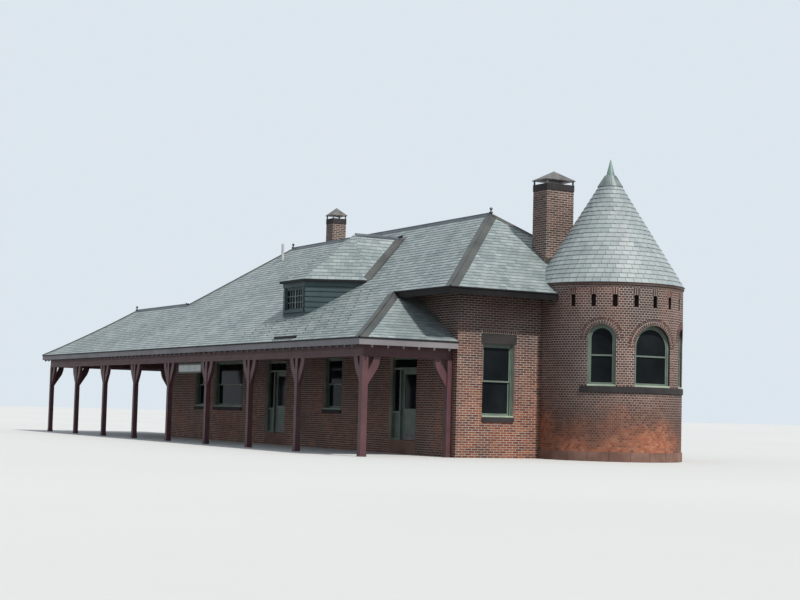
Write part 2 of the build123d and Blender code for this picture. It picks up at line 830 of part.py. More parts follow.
# Porch posts, curved braces and beams
back_posts = [post_positions[-1] + bay_length * i for i in range(shelter_back_posts)]
half_post = post_size / 2
half_corner_post = corner_post_size / 2


def post(x, y, half):
    return block(x - half, x + half, y - half, y + half, 0, beam_underside)


def brace_face():
    """Outline of a brace: x away from the post's face, y up to the beam.
    Its outer edge is straight and then bends upright. Its inner edge is hollowed out."""
    foot = beam_underside - brace_height
    throat = beam_underside - brace_gap_height
    bend = (brace_bend_reach, foot + brace_bend_height)
    bend_mid = ((brace_bend_reach + brace_reach) / 2 + brace_gap / 12, foot + (brace_bend_height + brace_height) / 2)
    inner_mid = (brace_gap * 0.62, throat + brace_gap_height * 0.45)
    edges = [
        Line((0, foot), (0, throat)),
        ThreePointArc((0, throat), inner_mid, (brace_gap, beam_underside)),
        Line((brace_gap, beam_underside), (brace_reach, beam_underside)),
        ThreePointArc((brace_reach, beam_underside), bend_mid, bend),
        Line(bend, (0, foot)),
    ]
    return make_face(edges)


def brace(x, y, direction, half):
    """A brace that leans away from a post along one of the four plan directions."""
    start = Vector(x, y, 0) + Vector(*direction) * half
    plane = Plane(origin=start, x_dir=direction, z_dir=Vector(*direction).cross(Vector(0, 0, 1)))
    return extrude(plane * brace_face(), amount=brace_thickness / 2, both=True)


wall_post_y = -half_corner_post - seat
posts = [post(corner_post_x, post_row_y, half_corner_post), post(corner_post_x, wall_post_y, half_corner_post)]
braces = [
    brace(corner_post_x, post_row_y, (-1, 0, 0), half_corner_post),
    brace(corner_post_x, post_row_y, (0, 1, 0), half_corner_post),
    brace(corner_post_x, wall_post_y, (0, -1, 0), half_corner_post),
]
for x in post_positions[1:]:
    posts.append(post(x, post_row_y, half_post))
    braces.append(brace(x, post_row_y, (1, 0, 0), half_post))
for x in post_positions[1:-1]:
    braces.append(brace(x, post_row_y, (-1, 0, 0), half_post))
for x in back_posts:
    posts.append(post(x, back_post_y, half_post))
    braces.append(brace(x, post_row_y, (0, 1, 0), half_post))
    braces.append(brace(x, back_post_y, (0, -1, 0), half_post))
for x in back_posts[1:]:
    braces.append(brace(x, back_post_y, (-1, 0, 0), half_post))
for x in back_posts[:-1]:
    braces.append(brace(x, back_post_y, (1, 0, 0), half_post))
nodes["porch_posts"] = gather(posts)
nodes["porch_braces"] = gather(braces)

half_beam = beam_width / 2
left_beam_x = post_positions[-1]
right_beam_x = corner_post_x + half_beam
over_track = over_slope(track_low, toward_track)
over_shelter_end = over_slope(shelter_end_low, toward_left)
over_porch_end = over_slope(porch_end_low, toward_end)
over_shelter_back = over_slope(shelter_back_low, toward_far)
track_beam = block(
    left_beam_x - half_beam, right_beam_x, post_row_y - half_beam, post_row_y + half_beam, beam_underside, sky
)
track_beam = track_beam - over_track - over_shelter_end - over_porch_end
end_beam = block(
    right_beam_x - beam_width, right_beam_x, post_row_y + half_beam + seat, -seat, beam_underside, sky
)
end_beam = end_beam - over_porch_end
back_beam = block(
    left_beam_x - half_beam, annex_x - seat, back_post_y - half_beam, back_post_y + half_beam, beam_underside, sky
)
back_beam = back_beam - over_shelter_back - over_shelter_end
cross_beams = []
for x in back_posts:
    cross = block(
        x - half_beam, x + half_beam, post_row_y + half_beam + seat, back_post_y - half_beam - seat,
        beam_underside, beam_underside + cross_beam_height,
    )
    cross_beams.append(cross - over_track - over_shelter_end - over_shelter_back)
nodes["porch_beams"] = gather([track_beam, end_beam, back_beam] + cross_beams)

# Blank board hung below the beam
board_top = beam_underside - board_drop
board = block(
    board_x - board_length / 2, board_x + board_length / 2, post_row_y - board_thickness / 2,
    post_row_y + board_thickness / 2, board_top - board_height, board_top,
)
for side in (-1, 1):
    hanger_x = board_x + side * board_length * 0.35
    board += block(
        hanger_x - board_hanger / 2, hanger_x + board_hanger / 2, post_row_y - board_hanger / 2,
        post_row_y + board_hanger / 2, board_top, beam_underside,
    )
nodes["name_board"] = keep(board)

# Doors: a frame with fixed lights beside and over the leaf, and a leaf that swings into the hall
frame_y0 = door_reveal
frame_y1 = door_reveal + door_frame_depth
leaf_low = floor_level + door_foot_gap
leaf_high = leaf_low + door_height
bar_low = leaf_high + door_gap
light_low = bar_low + transom_bar
light_high = doorway_head - door_frame_width
pivot_y = frame_y1 + hinge_offset
leaf_y0 = frame_y1 - door_thickness
pane_y0 = frame_y1 - (door_thickness + glass_thickness) / 2
side_glass_low = leaf_low + panel_height


def glass(x0, x1, z0, z1):
    return block(x0, x1, pane_y0, pane_y0 + glass_thickness, z0, z1)


def door_frame(x0, x1, hinge_x):
    """Jambs, head, transom bar and mullion, with a boarded panel under the side light."""
    frame = block(x0, x1, frame_y0, frame_y1, floor_level, doorway_head)
    side_x0 = x0 + door_frame_width
    side_x1 = hinge_x - door_gap - door_frame_width
    frame -= block(hinge_x - door_gap, x1 - door_frame_width, frame_y0, frame_y1, floor_level, bar_low)
    frame -= block(side_x0, x1 - door_frame_width, frame_y0, frame_y1, light_low, light_high)
    frame -= block(side_x0, side_x1, frame_y0, frame_y1, side_glass_low, bar_low)
    frame -= block(side_x0, side_x1, frame_y0, leaf_y0, floor_level + door_frame_width, side_glass_low - transom_bar)
    lights = [
        glass(side_x0, side_x1, side_glass_low, bar_low),
        glass(side_x0, x1 - door_frame_width, light_low, light_high),
    ]
    return frame, lights


def door_leaf(hinge_x):
    """A leaf with one sunk panel, a large glass above it and a pull on each face."""
    free_x = hinge_x + door_width
    leaf = block(hinge_x, free_x, leaf_y0, frame_y1, leaf_low, leaf_high)
    inner = (hinge_x + stile_width, free_x - stile_width)
    panel = (leaf_low + bottom_rail, leaf_low + panel_height - stile_width / 2)
    light = (leaf_low + panel_height + stile_width / 2, leaf_high - stile_width)
    leaf -= block(*inner, leaf_y0, leaf_y0 + panel_recess, *panel)
    leaf -= block(*inner, frame_y1 - panel_recess, frame_y1, *panel)
    leaf -= block(*inner, leaf_y0, frame_y1, *light)
    leaf += glass(*inner, *light)
    pull_x = free_x - pull_backset
    low = leaf_low + pull_low
    for y, face in ((leaf_y0 - pull_reach, leaf_y0), (frame_y1 + pull_reach, frame_y1)):
        leaf += block(
            pull_x - pull_radius, pull_x + pull_radius, y - pull_radius, y + pull_radius, low, low + pull_length
        )
        for z in (low + 2 * pull_radius, low + pull_length - 4 * pull_radius):
            leaf += block(pull_x - pull_radius, pull_x + pull_radius, y, face, z, z + 2 * pull_radius)
    return leaf


def hinge(x0, hinge_x, base):
    """Knuckle and plate of the leaf, its bore, and the pin and plate that stay on the frame."""
    knuckle_place = Pos(hinge_x, pivot_y, base + knuckle_length / 2)
    knuckle = knuckle_place * Cylinder(knuckle_radius, knuckle_length)
    plate = block(hinge_x, hinge_x + hinge_leaf, frame_y1, frame_y1 + hinge_plate, base, base + knuckle_length)
    bore = knuckle_place * Cylinder(knuckle_bore, knuckle_length)
    foot_top = base - seat
    foot_low = foot_top - 2 * knuckle_radius
    pin_top = base + knuckle_length
    pin = Pos(hinge_x, pivot_y, (foot_low + pin_top) / 2) * Cylinder(pin_radius, pin_top - foot_low)
    foot = Pos(hinge_x, pivot_y, foot_top - knuckle_radius) * Cylinder(knuckle_radius, 2 * knuckle_radius)
    frame_plate = block(x0, hinge_x - door_gap / 2, frame_y1, frame_y1 + hinge_plate, foot_low, foot_top)
    return knuckle + plate, bore, pin + foot + frame_plate


door_frames = []
door_leaves = []
for start in door_starts:
    x0 = -start - doorway_width
    x1 = -start
    hinge_x = x1 - door_frame_width - door_gap - door_width
    frame, lights = door_frame(x0, x1, hinge_x)
    leaf = door_leaf(hinge_x)
    for height in hinge_heights:
        moving, bore, fixed = hinge(hinge_x - door_frame_width, hinge_x, leaf_low + height)
        leaf = leaf + moving - bore
        frame += fixed
    door_frames.append(frame)
    door_leaves.append(leaf)
    panes.extend(lights)
nodes["door_frames"] = gather(door_frames)
nodes["near_door"] = keep(door_leaves[0])
nodes["far_door"] = keep(door_leaves[1])

# Dormer window
dormer_y0 = dormer_face_y + dormer_frame_setback
dormer_y1 = dormer_y0 + dormer_frame_depth
half_window = dormer_window_width / 2
half_light = half_window - dormer_frame
light_rows = (dormer_window_sill + dormer_frame, dormer_window_head - dormer_frame)
dormer_sash = block(
    dormer_x - half_window, dormer_x + half_window, dormer_y0, dormer_y1, dormer_window_sill, dormer_window_head
)
dormer_sash -= block(dormer_x - half_light, dormer_x + half_light, dormer_y0, dormer_y1, *light_rows)
nodes["dormer_window"] = keep(dormer_sash)
pane_front = (dormer_y0 + dormer_y1) / 2
panes.append(
    block(dormer_x - half_light, dormer_x + half_light, pane_front, pane_front + glass_thickness, *light_rows)
)

nodes["sash_windows"] = gather(window_frames)
nodes["tower_windows"] = gather(tower_windows)
nodes["window_glass"] = gather(panes)
nodes["stone_lintels"] = gather(lintels)
nodes["stone_sills"] = gather(sills)

# Floors, carried by the walls around them
hall = block(
    left_face_x + wall_thickness, -wall_thickness, wall_thickness, body_width - wall_thickness,
    floor_level - floor_thickness, floor_level,
)
tower_floor = tower_place * Pos(0, 0, floor_level - floor_thickness / 2) * Cylinder(tower_radius, floor_thickness)
tower_floor -= tower_place * tower_ring(tower_radius - tower_wall - seat, 2 * tower_radius, 0, tower_wall_top)
annex_floor = block(
    annex_x + wall_thickness, left_face_x, wall_thickness, annex_depth - wall_thickness,
    floor_level - floor_thickness, floor_level,
)
nodes["hall_floor"] = keep(hall + tower_floor)
nodes["annex_floor"] = keep(annex_floor)

# Move every piece so that the origin lies below the middle of the outline, and write it
x_low = shelter_eave_x
tower_reach = max(tower_eave_radius, tower_radius + sill_band_projection)
x_high = tower_axis_x + tower_reach
y_low = low_eave_y
y_high = tower_axis_y + tower_reach
shift = Pos(-(x_low + x_high) / 2, -(y_low + y_high) / 2, 0)

os.makedirs("parts", exist_ok=True)
for name, shape in nodes.items():
    placed = shift * shape
    export_step(placed, f"parts/{name}.step")
    print(name, len(placed.solids()), round(placed.volume / 1e9, 3))
print("shift", round(-(x_low + x_high) / 2, 1), round(-(y_low + y_high) / 2, 1))
print("ridge", round(ridge_height), "high eave", round(high_eave_height), "wall top", round(wall_top))
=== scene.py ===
# %% [markdown]
# # A small brick railway station with a round corner tower
# The solid model gives walls, roof plates, posts, doors and windows at their real sizes. This lesson
# dresses them. Every slate, brick and clapboard is laid as a small separate shape, and every finish is
# a node material. All sizes are in metres.
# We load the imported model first. It is a fixed frame: its pieces are painted, never moved.

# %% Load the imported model
import json
import random
from math import asin, atan2, ceil, cos, pi, radians, sin, sqrt, tan

import bmesh
import bpy
from mathutils import Matrix, Vector


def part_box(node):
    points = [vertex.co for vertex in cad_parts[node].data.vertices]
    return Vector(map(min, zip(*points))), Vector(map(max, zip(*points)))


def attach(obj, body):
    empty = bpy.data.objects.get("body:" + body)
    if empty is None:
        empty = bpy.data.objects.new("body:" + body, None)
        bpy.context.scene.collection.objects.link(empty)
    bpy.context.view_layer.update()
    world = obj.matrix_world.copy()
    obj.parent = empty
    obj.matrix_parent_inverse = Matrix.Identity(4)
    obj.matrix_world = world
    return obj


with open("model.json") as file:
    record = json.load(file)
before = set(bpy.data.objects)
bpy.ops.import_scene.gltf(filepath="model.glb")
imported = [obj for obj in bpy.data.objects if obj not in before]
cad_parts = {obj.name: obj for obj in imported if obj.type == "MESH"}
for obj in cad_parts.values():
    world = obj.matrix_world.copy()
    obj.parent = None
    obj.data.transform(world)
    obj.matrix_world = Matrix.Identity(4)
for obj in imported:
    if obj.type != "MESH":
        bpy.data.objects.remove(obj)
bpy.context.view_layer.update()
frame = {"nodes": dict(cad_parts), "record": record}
nodes = frame["nodes"]
print("pieces from the solid model:", len(nodes))

# %% [markdown]
# All of the work is measured from one corner of the brickwork, where the end wall meets the track wall.
# There x is 0 on the end wall and y is 0 on the track wall, which is easy to check against the building.
# The frame tells where that corner really is, and each finished piece is moved there.

# %% The measuring corner
corner = Vector((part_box("end_wall")[1][0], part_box("track_wall_1")[0][1], 0))
body_length = corner.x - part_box("left_wall")[0][0]
body_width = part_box("far_wall")[1][1] - corner.y
wall_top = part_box("end_wall")[1][2]
tower_x, tower_y, tower_radius = 0.325, body_width - 0.79, 2.167
soffit_drop = 0.07
cone_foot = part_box("tower_roof")[0][2] + soffit_drop
cone_radius, cone_height = 2.2, 3.55
print("corner", [round(v, 3) for v in corner], "body", round(body_length, 2), "by", round(body_width, 2))

# %% [markdown]
# ## The roof's cross section
# One cross section serves every slope. It climbs straight to the ridge, and kicks out to the porch eaves
# in a long shallow curve, an arc of a circle. It is kept as one function of the run, which is the plan
# distance inward from the low eave, so that slates, rafters and metal all follow the same line.

# %% Roof section
roof_pitch = radians(36.2)
eave_pitch = radians(29.5)
kick_run = 3.427
low_eave_height = 3.24
porch_reach = 3.16
eave_overhang = 0.762
plate_thickness = 0.2
high_eave_run = porch_reach - eave_overhang
kick_radius = kick_run / (sin(roof_pitch) - sin(eave_pitch))


def roof_height(run):
    """Height of the slates at a run inward from the low eave."""
    bent = min(run, kick_run)
    angle = asin(sin(eave_pitch) + bent / kick_radius)
    rise = kick_radius * (cos(eave_pitch) - cos(angle))
    return low_eave_height + rise + (run - bent) * tan(roof_pitch)


half_span = body_width / 2 + porch_reach
print("ridge height", round(roof_height(half_span), 3), "high eave", round(roof_height(high_eave_run), 3))

# %% [markdown]
# A slope is described by a point on its low eave line and by the direction in which it climbs. A place
# on it is then two numbers: along the eave, and run up the slope. An empty object could hold the same
# frame, but this small class also answers how high the slates are at any place in plan.

# %% Slopes
class Slope:
    """A roof slope: its low eave passes through start, and it climbs along the plan direction inward."""

    def __init__(self, start, inward, rise=roof_height):
        self.start, self.inward, self.rise = Vector(start), Vector(inward), rise
        self.along = Vector((self.inward.y, -self.inward.x))

    def flat(self, point):
        """A place in plan as two numbers: along the eave, and run up the slope."""
        offset = Vector(point) - self.start
        return offset.dot(self.along), offset.dot(self.inward)

    def height(self, point):
        """How high the slates are at a place in plan."""
        return self.rise(self.flat(point)[1])

    def place(self, point):
        """Where a point of a flat field lies on the slope."""
        plan = self.start + self.along * point.x + self.inward * point.y
        return Vector((plan.x, plan.y, self.rise(point.y) + point.z))


left_eave_x = -body_length - eave_overhang
shelter_half = 3.06
shelter_eave_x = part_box("shelter_end_slope")[0][0] - corner.x
shelter_ridge_y = shelter_half - porch_reach
shelter_back_y = shelter_ridge_y + shelter_half
porch_end_x = 0.04
ridge_y = body_width / 2
ridge_near_x, ridge_far_x = -body_width / 2, -body_length + body_width / 2
joint_x = ridge_far_x - (ridge_y - shelter_ridge_y)

track = Slope((0, -porch_reach), (0, 1))
end = Slope((eave_overhang + high_eave_run, 0), (-1, 0))
far = Slope((0, body_width + porch_reach), (0, -1))
left = Slope((left_eave_x - high_eave_run, 0), (1, 0))
porch_end = Slope((porch_end_x, 0), (-1, 0))
shelter_end = Slope((shelter_eave_x, 0), (1, 0))
shelter_back = Slope((0, shelter_back_y), (0, -1))
print("the porch roof joins the shelter at x", round(joint_x, 3))

# %% [markdown]
# ## Finishes
# Paint, slate and brick are never one colour. These helpers add shader nodes and link them, so that a
# finish reads as a short recipe.

# %% Helpers that add and mix nodes
def add_node(tree, kind, **values):
    """Add a shader node. Values go to its sockets and settings by name, and an output is linked."""
    node = tree.nodes.new(kind)
    for name, value in values.items():
        socket = node.inputs.get(name.replace("_", " ").title())
        if socket is None:
            setattr(node, name, value)
        elif isinstance(value, bpy.types.NodeSocket):
            tree.links.new(value, socket)
        else:
            socket.default_value = value
    return node


def mix_colours(tree, factor, first, second):
    """Mix two colours. Each may be a colour or the output of another node."""
    node = add_node(tree, "ShaderNodeMix", data_type="RGBA")
    for socket, value in ((node.inputs[0], factor), (node.inputs[6], first), (node.inputs[7], second)):
        if isinstance(value, bpy.types.NodeSocket):
            tree.links.new(value, socket)
        elif isinstance(value, tuple):
            socket.default_value = (*value, 1)
        else:
            socket.default_value = value
    return node.outputs[2]


def stretch(tree, value, low, high, start=0.0, stop=1.0):
    """Map a value's range onto another range, clamped at both ends."""
    limits = {"from_min": low, "from_max": high, "to_min": start, "to_max": stop}
    return add_node(tree, "ShaderNodeMapRange", value=value, **limits).outputs["Result"]


print("mixing helpers ready")

# %% [markdown]
# What the colours follow is a noise, the height, or a number that is stored on a block. Each laid block
# carries a random number of its own on its corners, called "tint", so that neighbours differ as real
# bricks and slates do. It is the cheapest way to break up a large field.

# %% Helpers for what the colours follow
def noise(tree, place, scale, detail=4.0, squash=(1, 1, 1)):
    """A noise on object coordinates, squashed where grain or streaks run in one direction."""
    squashed = add_node(tree, "ShaderNodeMapping", vector=place, scale=squash).outputs["Vector"]
    return add_node(tree, "ShaderNodeTexNoise", vector=squashed, scale=scale, detail=detail).outputs["Fac"]


def attribute(tree, name):
    """A number that is stored on the corners of the laid blocks."""
    return add_node(tree, "ShaderNodeAttribute", attribute_name=name).outputs["Fac"]


def height_of(tree, place):
    """The height of a place on the building."""
    return add_node(tree, "ShaderNodeSeparateXYZ", vector=place).outputs["Z"]


def plus(tree, first, second, use_clamp=False):
    """The sum of two numbers."""
    node = add_node(tree, "ShaderNodeMath", operation="ADD", use_clamp=use_clamp)
    tree.links.new(first, node.inputs[0])
    tree.links.new(second, node.inputs[1])
    return node.outputs[0]


def ramp(tree, value, stops):
    """A colour ramp through a few shades at even steps."""
    node = add_node(tree, "ShaderNodeValToRGB", fac=value)
    elements = node.color_ramp.elements
    while len(elements) < len(stops):
        elements.new(0.5)
    for i, shade in enumerate(stops):
        elements[i].position = i / (len(stops) - 1)
        elements[i].color = (*shade, 1)
    return node.outputs["Color"]


print("pattern helpers ready")

# %% [markdown]
# ### The common finish
# Each finish starts from a dark and a light shade, which a broad noise mixes in blotches. A finer noise
# adds the grain and a little relief. Special finishes then build on the sockets that it returns, which
# is shorter than a separate node tree for each of them.

# %% The common finish
grain_relief = 0.004


def finish(
    name, dark, light, blotch=1.2, grain=40.0, squash=(1, 1, 1), roughness=0.7, relief=0.3, metallic=0.0
):
    """A blotchy finish with grain. Returns the material and the sockets that other helpers build on."""
    material = bpy.data.materials.new(name)
    material.use_nodes = True
    tree = material.node_tree
    shader = tree.nodes["Principled BSDF"]
    shader.inputs["Roughness"].default_value = roughness
    shader.inputs["Metallic"].default_value = metallic
    place = tree.nodes.new("ShaderNodeTexCoord").outputs["Object"]
    broad = noise(tree, place, blotch)
    fine = noise(tree, place, grain, 6.0, squash)
    colour = mix_colours(tree, stretch(tree, broad, 0.35, 0.65), dark, light)
    colour = mix_colours(tree, stretch(tree, fine, 0.3, 0.7, 0.0, 0.35), colour, dark)
    bump = add_node(tree, "ShaderNodeBump", strength=relief, distance=grain_relief, height=fine)
    tree.links.new(bump.outputs["Normal"], shader.inputs["Normal"])
    recolour(tree, shader, colour)
    return material, tree, colour, shader, place


def recolour(tree, shader, colour):
    """Give the shader another colour input."""
    tree.links.new(colour, shader.inputs["Base Color"])


print("the common finish is ready")

# %% [markdown]
# ### Slate
# Slates weather to greys and greens, and shade is painted along their lower edges. The "lip" number is 0 on
# a slate's lower edge and 1 at its top, so a dark line of painted shade follows every course. Long streaks
# run down.

# %% Slate
def slate_finish(name, shades, roughness, gloss, butt_shade):
    """Slate in a few shades, with painted shade along the lower edge of each course."""
    material, tree, colour, shader, place = finish(
        name, shades[0], shades[-1], 0.45, 30.0, roughness=roughness
    )
    shader.inputs["Specular IOR Level"].default_value = gloss
    mixed = mix_colours(tree, 0.6, colour, ramp(tree, attribute(tree, "tint"), shades))
    # Painted shade: each course darkens along its lower edge and its butt.
    butt_shade_mask = stretch(tree, attribute(tree, "lip"), 0.0, 0.15, butt_shade, 0.0)
    mixed = mix_colours(tree, butt_shade_mask, mixed, (0.07, 0.08, 0.085))
    streaks = stretch(tree, noise(tree, place, 2.2, 5.0, (1, 1, 0.3)), 0.5, 0.72, 0.0, 0.4)
    recolour(tree, shader, mix_colours(tree, streaks, mixed, (0.13, 0.16, 0.16)))
    return material


roof_greys = [(0.17, 0.21, 0.22), (0.26, 0.31, 0.32), (0.31, 0.36, 0.35), (0.40, 0.45, 0.45)]
tower_greys = [(0.24, 0.29, 0.30), (0.31, 0.36, 0.37), (0.34, 0.39, 0.39), (0.42, 0.47, 0.47)]
roof_slate = slate_finish("roof_slate", roof_greys, 0.5, 0.5, 0.55)
tower_slate = slate_finish("tower_slate", tower_greys, 0.4, 0.9, 0.38)
print("slate mixed:", roof_slate.name, tower_slate.name)

# %% [markdown]
# ### Brick
# The bricks are redder low on the walls and browner below the eaves, so the height enters the mix. On the
# straight walls that browner top is partly weathering, where rain reaches them least, and partly painted
# shade of the eaves. A broad noise is added to the height, which makes the border between the two ragged.
# Soot lies over both in large soft patches.

# %% Brick
def brick_finish(name, low_shades, high_shades, low, high):
    """Brick whose shades change between two heights."""
    material, tree, colour, shader, place = finish(
        name, low_shades[0], high_shades[-1], 0.8, 60.0, relief=0.5
    )
    ragged = stretch(tree, noise(tree, place, 1.1), 0.3, 0.7, -0.6, 0.6)
    climb = stretch(tree, plus(tree, height_of(tree, place), ragged), low, high)
    tint = attribute(tree, "tint")
    laid = mix_colours(tree, climb, ramp(tree, tint, low_shades), ramp(tree, tint, high_shades))
    mixed = mix_colours(tree, 0.2, laid, colour)
    soot = stretch(tree, noise(tree, place, 0.8, 5.0, (1, 1, 0.5)), 0.46, 0.66, 0.0, 0.7)
    recolour(tree, shader, mix_colours(tree, soot, mixed, (0.045, 0.026, 0.023)))
    return material


reds = [(0.12, 0.03, 0.018), (0.225, 0.06, 0.027), (0.33, 0.095, 0.038), (0.41, 0.155, 0.075)]
oranges = [(0.30, 0.08, 0.04), (0.50, 0.14, 0.065), (0.62, 0.20, 0.09), (0.66, 0.28, 0.16)]
browns = [(0.03, 0.016, 0.015), (0.066, 0.032, 0.027), (0.115, 0.055, 0.044), (0.19, 0.105, 0.085)]
sooty = [(0.04, 0.022, 0.02), (0.085, 0.045, 0.038), (0.14, 0.07, 0.055), (0.22, 0.12, 0.095)]
# On the straight walls the browns under the eaves are partly painted shade of the eaves.
wall_brick = brick_finish("wall_brick", reds, browns, 1.2, 3.6)
tower_brick = brick_finish("tower_brick", oranges, browns, 0.4, 1.55)
stack_brick = brick_finish("stack_brick", sooty, sooty, 5.0, 8.0)
print("brick mixed:", wall_brick.name, tower_brick.name, stack_brick.name)

# %% [markdown]
# ### Mortar of the tower
# The walls of the solid model show between the laid bricks, so they are painted as mortar. The tower's
# mortar is paler, and stained near its foot. Its solid wall shows mortar only at its face: deeper in,
# as in its blind slots, it is painted near black as painted shade, so the distance from the tower's middle
# picks the shade.

# %% Mortar of the tower
def tower_mortar_finish():
    """Pale mortar, stained near its foot, with painted shade deeper in."""
    material, tree, colour, shader, place = finish(
        "tower_mortar", (0.54, 0.485, 0.435), (0.86, 0.79, 0.72), 1.0, 90.0, relief=0.6, roughness=0.9
    )
    climb = stretch(tree, height_of(tree, place), 1.0, 2.3)
    colour = mix_colours(tree, climb, (0.32, 0.225, 0.17), colour)
    middle = (-corner.x - tower_x, -corner.y - tower_y, 0)
    plan = add_node(tree, "ShaderNodeMapping", vector=place, location=middle, scale=(1, 1, 0)).outputs[0]
    radius = add_node(tree, "ShaderNodeVectorMath", operation="LENGTH", vector=plan).outputs["Value"]
    # Painted shade: deeper in than the face, in slots and reveals, the wall is near black.
    face = stretch(tree, radius, tower_radius - 0.016, tower_radius - 0.008)
    recolour(tree, shader, mix_colours(tree, face, (0.05, 0.03, 0.026), colour))
    return material


print("mortar mixed:", tower_mortar_finish().name)

# %% [markdown]
# ### Paint, metal, stone and glass
# The timber is painted: dull maroon on posts and beams, sage green on windows and doors, grey on the
# boards at the low eaves. Paint shows the wood's grain only as faint streaks, so the noise is squashed
# along the grain. The hips are dull sheet metal. The glass is dark, because the rooms behind it are
# unlit. All of them are the common finish with other numbers, so they stand in one table.

# %% Paint, metal, stone and glass
even, upright, lengthwise = (1, 1, 1), (6, 6, 0.5), (0.5, 0.5, 6)
boarded, crosswise = (0.6, 0.6, 6), (8, 0.5, 0.5)
for row in (
    # name, dark shade, light shade, blotch, grain, squash, roughness, relief, metallic
    ("mortar", (0.46, 0.40, 0.35), (0.74, 0.67, 0.60), 1.0, 90, even, 0.9, 0.6, 0),
    ("maroon_paint", (0.095, 0.038, 0.044), (0.15, 0.064, 0.07), 1.6, 22, upright, 0.55, 0.3, 0),
    ("green_paint", (0.14, 0.185, 0.15), (0.215, 0.27, 0.22), 2.0, 25, upright, 0.5, 0.2, 0),
    ("pale_green_paint", (0.38, 0.46, 0.36), (0.52, 0.60, 0.48), 2.5, 25, upright, 0.5, 0.2, 0),
    ("grey_paint", (0.24, 0.22, 0.24), (0.34, 0.32, 0.33), 0.9, 18, lengthwise, 0.6, 0.25, 0),
    # Porch rafters: grey paint, darkened as painted shade under the porch roof.
    ("rafter_paint_and_shade", (0.095, 0.078, 0.082), (0.155, 0.135, 0.14), 0.9, 18, upright, 0.6, 0.25, 0),
    ("dormer_paint", (0.045, 0.075, 0.082), (0.08, 0.12, 0.125), 1.2, 18, boarded, 0.6, 0.3, 0),
    # Near black for the drip edges, the dormer's eave edge and the rain diverter: painted shade.
    ("shade_line_paint", (0.012, 0.012, 0.013), (0.03, 0.028, 0.03), 0.9, 18, even, 0.6, 0.2, 0),
    ("muntin_paint", (0.17, 0.21, 0.20), (0.26, 0.31, 0.29), 2.0, 25, upright, 0.5, 0.2, 0),
    # Near black at the high eaves: dark paint deepened into painted shade under the eaves.
    ("eave_shade_paint", (0.010, 0.009, 0.0095), (0.022, 0.019, 0.02), 0.9, 18, lengthwise, 0.6, 0.25, 0),
    ("ceiling_boards", (0.08, 0.05, 0.042), (0.15, 0.10, 0.08), 0.8, 14, crosswise, 0.7, 0.3, 0),
    ("hip_metal", (0.06, 0.064, 0.06), (0.11, 0.113, 0.105), 1.5, 30, even, 0.5, 0.3, 0.35),
    ("ridge_metal", (0.06, 0.075, 0.09), (0.12, 0.135, 0.15), 1.5, 30, even, 0.45, 0.3, 0.5),
    ("patina", (0.16, 0.25, 0.22), (0.30, 0.42, 0.37), 3.0, 24, (1, 1, 0.3), 0.5, 0.3, 0.2),
    ("old_tin", (0.10, 0.09, 0.09), (0.21, 0.20, 0.19), 4.0, 24, (1, 1, 0.4), 0.5, 0.3, 0.3),
    ("skirt_metal", (0.14, 0.17, 0.17), (0.26, 0.31, 0.30), 4.0, 24, (1, 1, 0.4), 0.45, 0.3, 0.3),
    ("brown_stone", (0.022, 0.019, 0.021), (0.05, 0.042, 0.044), 2.0, 45, even, 0.85, 0.8, 0),
    ("foot_stone", (0.20, 0.105, 0.08), (0.36, 0.21, 0.16), 1.6, 40, even, 0.85, 0.9, 0),
    ("slab", (0.26, 0.25, 0.235), (0.40, 0.39, 0.36), 1.2, 50, even, 0.85, 0.4, 0),
    ("white_enamel", (0.55, 0.56, 0.54), (0.70, 0.71, 0.68), 3.0, 30, even, 0.4, 0.1, 0),
    ("dark_board", (0.035, 0.04, 0.038), (0.07, 0.075, 0.07), 2.5, 30, even, 0.5, 0.2, 0),
    ("dark_glass", (0.006, 0.008, 0.010), (0.018, 0.022, 0.026), 0.9, 3, even, 0.07, 0.02, 0),
    ("door_glass", (0.008, 0.010, 0.011), (0.022, 0.026, 0.028), 1.4, 3, even, 0.06, 0.02, 0),
):
    finish(*row)
print("finishes:", len(bpy.data.materials))

# %% [markdown]
# Glass and the two darkest paints would catch too much of the sky, so they reflect less than the shader's
# usual amount. The dormer's boards lap like slates, and get a painted shadow line along the lower edge of
# each.

# %% Dull glass and lapped boards
for name, socket, value in (
    ("dark_glass", "IOR", 1.15),
    ("door_glass", "IOR", 1.15),
    ("eave_shade_paint", "Specular IOR Level", 0.15),
    ("shade_line_paint", "Specular IOR Level", 0.15),
):
    bpy.data.materials[name].node_tree.nodes["Principled BSDF"].inputs[socket].default_value = value

lapped_paint = "lapped_board_paint"
_, tree, colour, shader, _ = finish(
    lapped_paint, (0.034, 0.062, 0.07), (0.06, 0.10, 0.112), 1.2, 18.0, boarded, 0.6
)
# Painted shade: a dark line along the lower edge of each board.
board_shadow_line = stretch(tree, attribute(tree, "lip"), 0.0, 0.2, 0.6, 0.0)
recolour(tree, shader, mix_colours(tree, board_shadow_line, colour, (0.012, 0.018, 0.018)))
print("boards painted:", lapped_paint)

# %% [markdown]
# ### Painting the solid model
# The record says what each node of the solid model is made of. That picks its finish, and a short list
# names the nodes that differ, such as the round wall, the dormer and the boards at the high eaves, near black
# as painted shade.

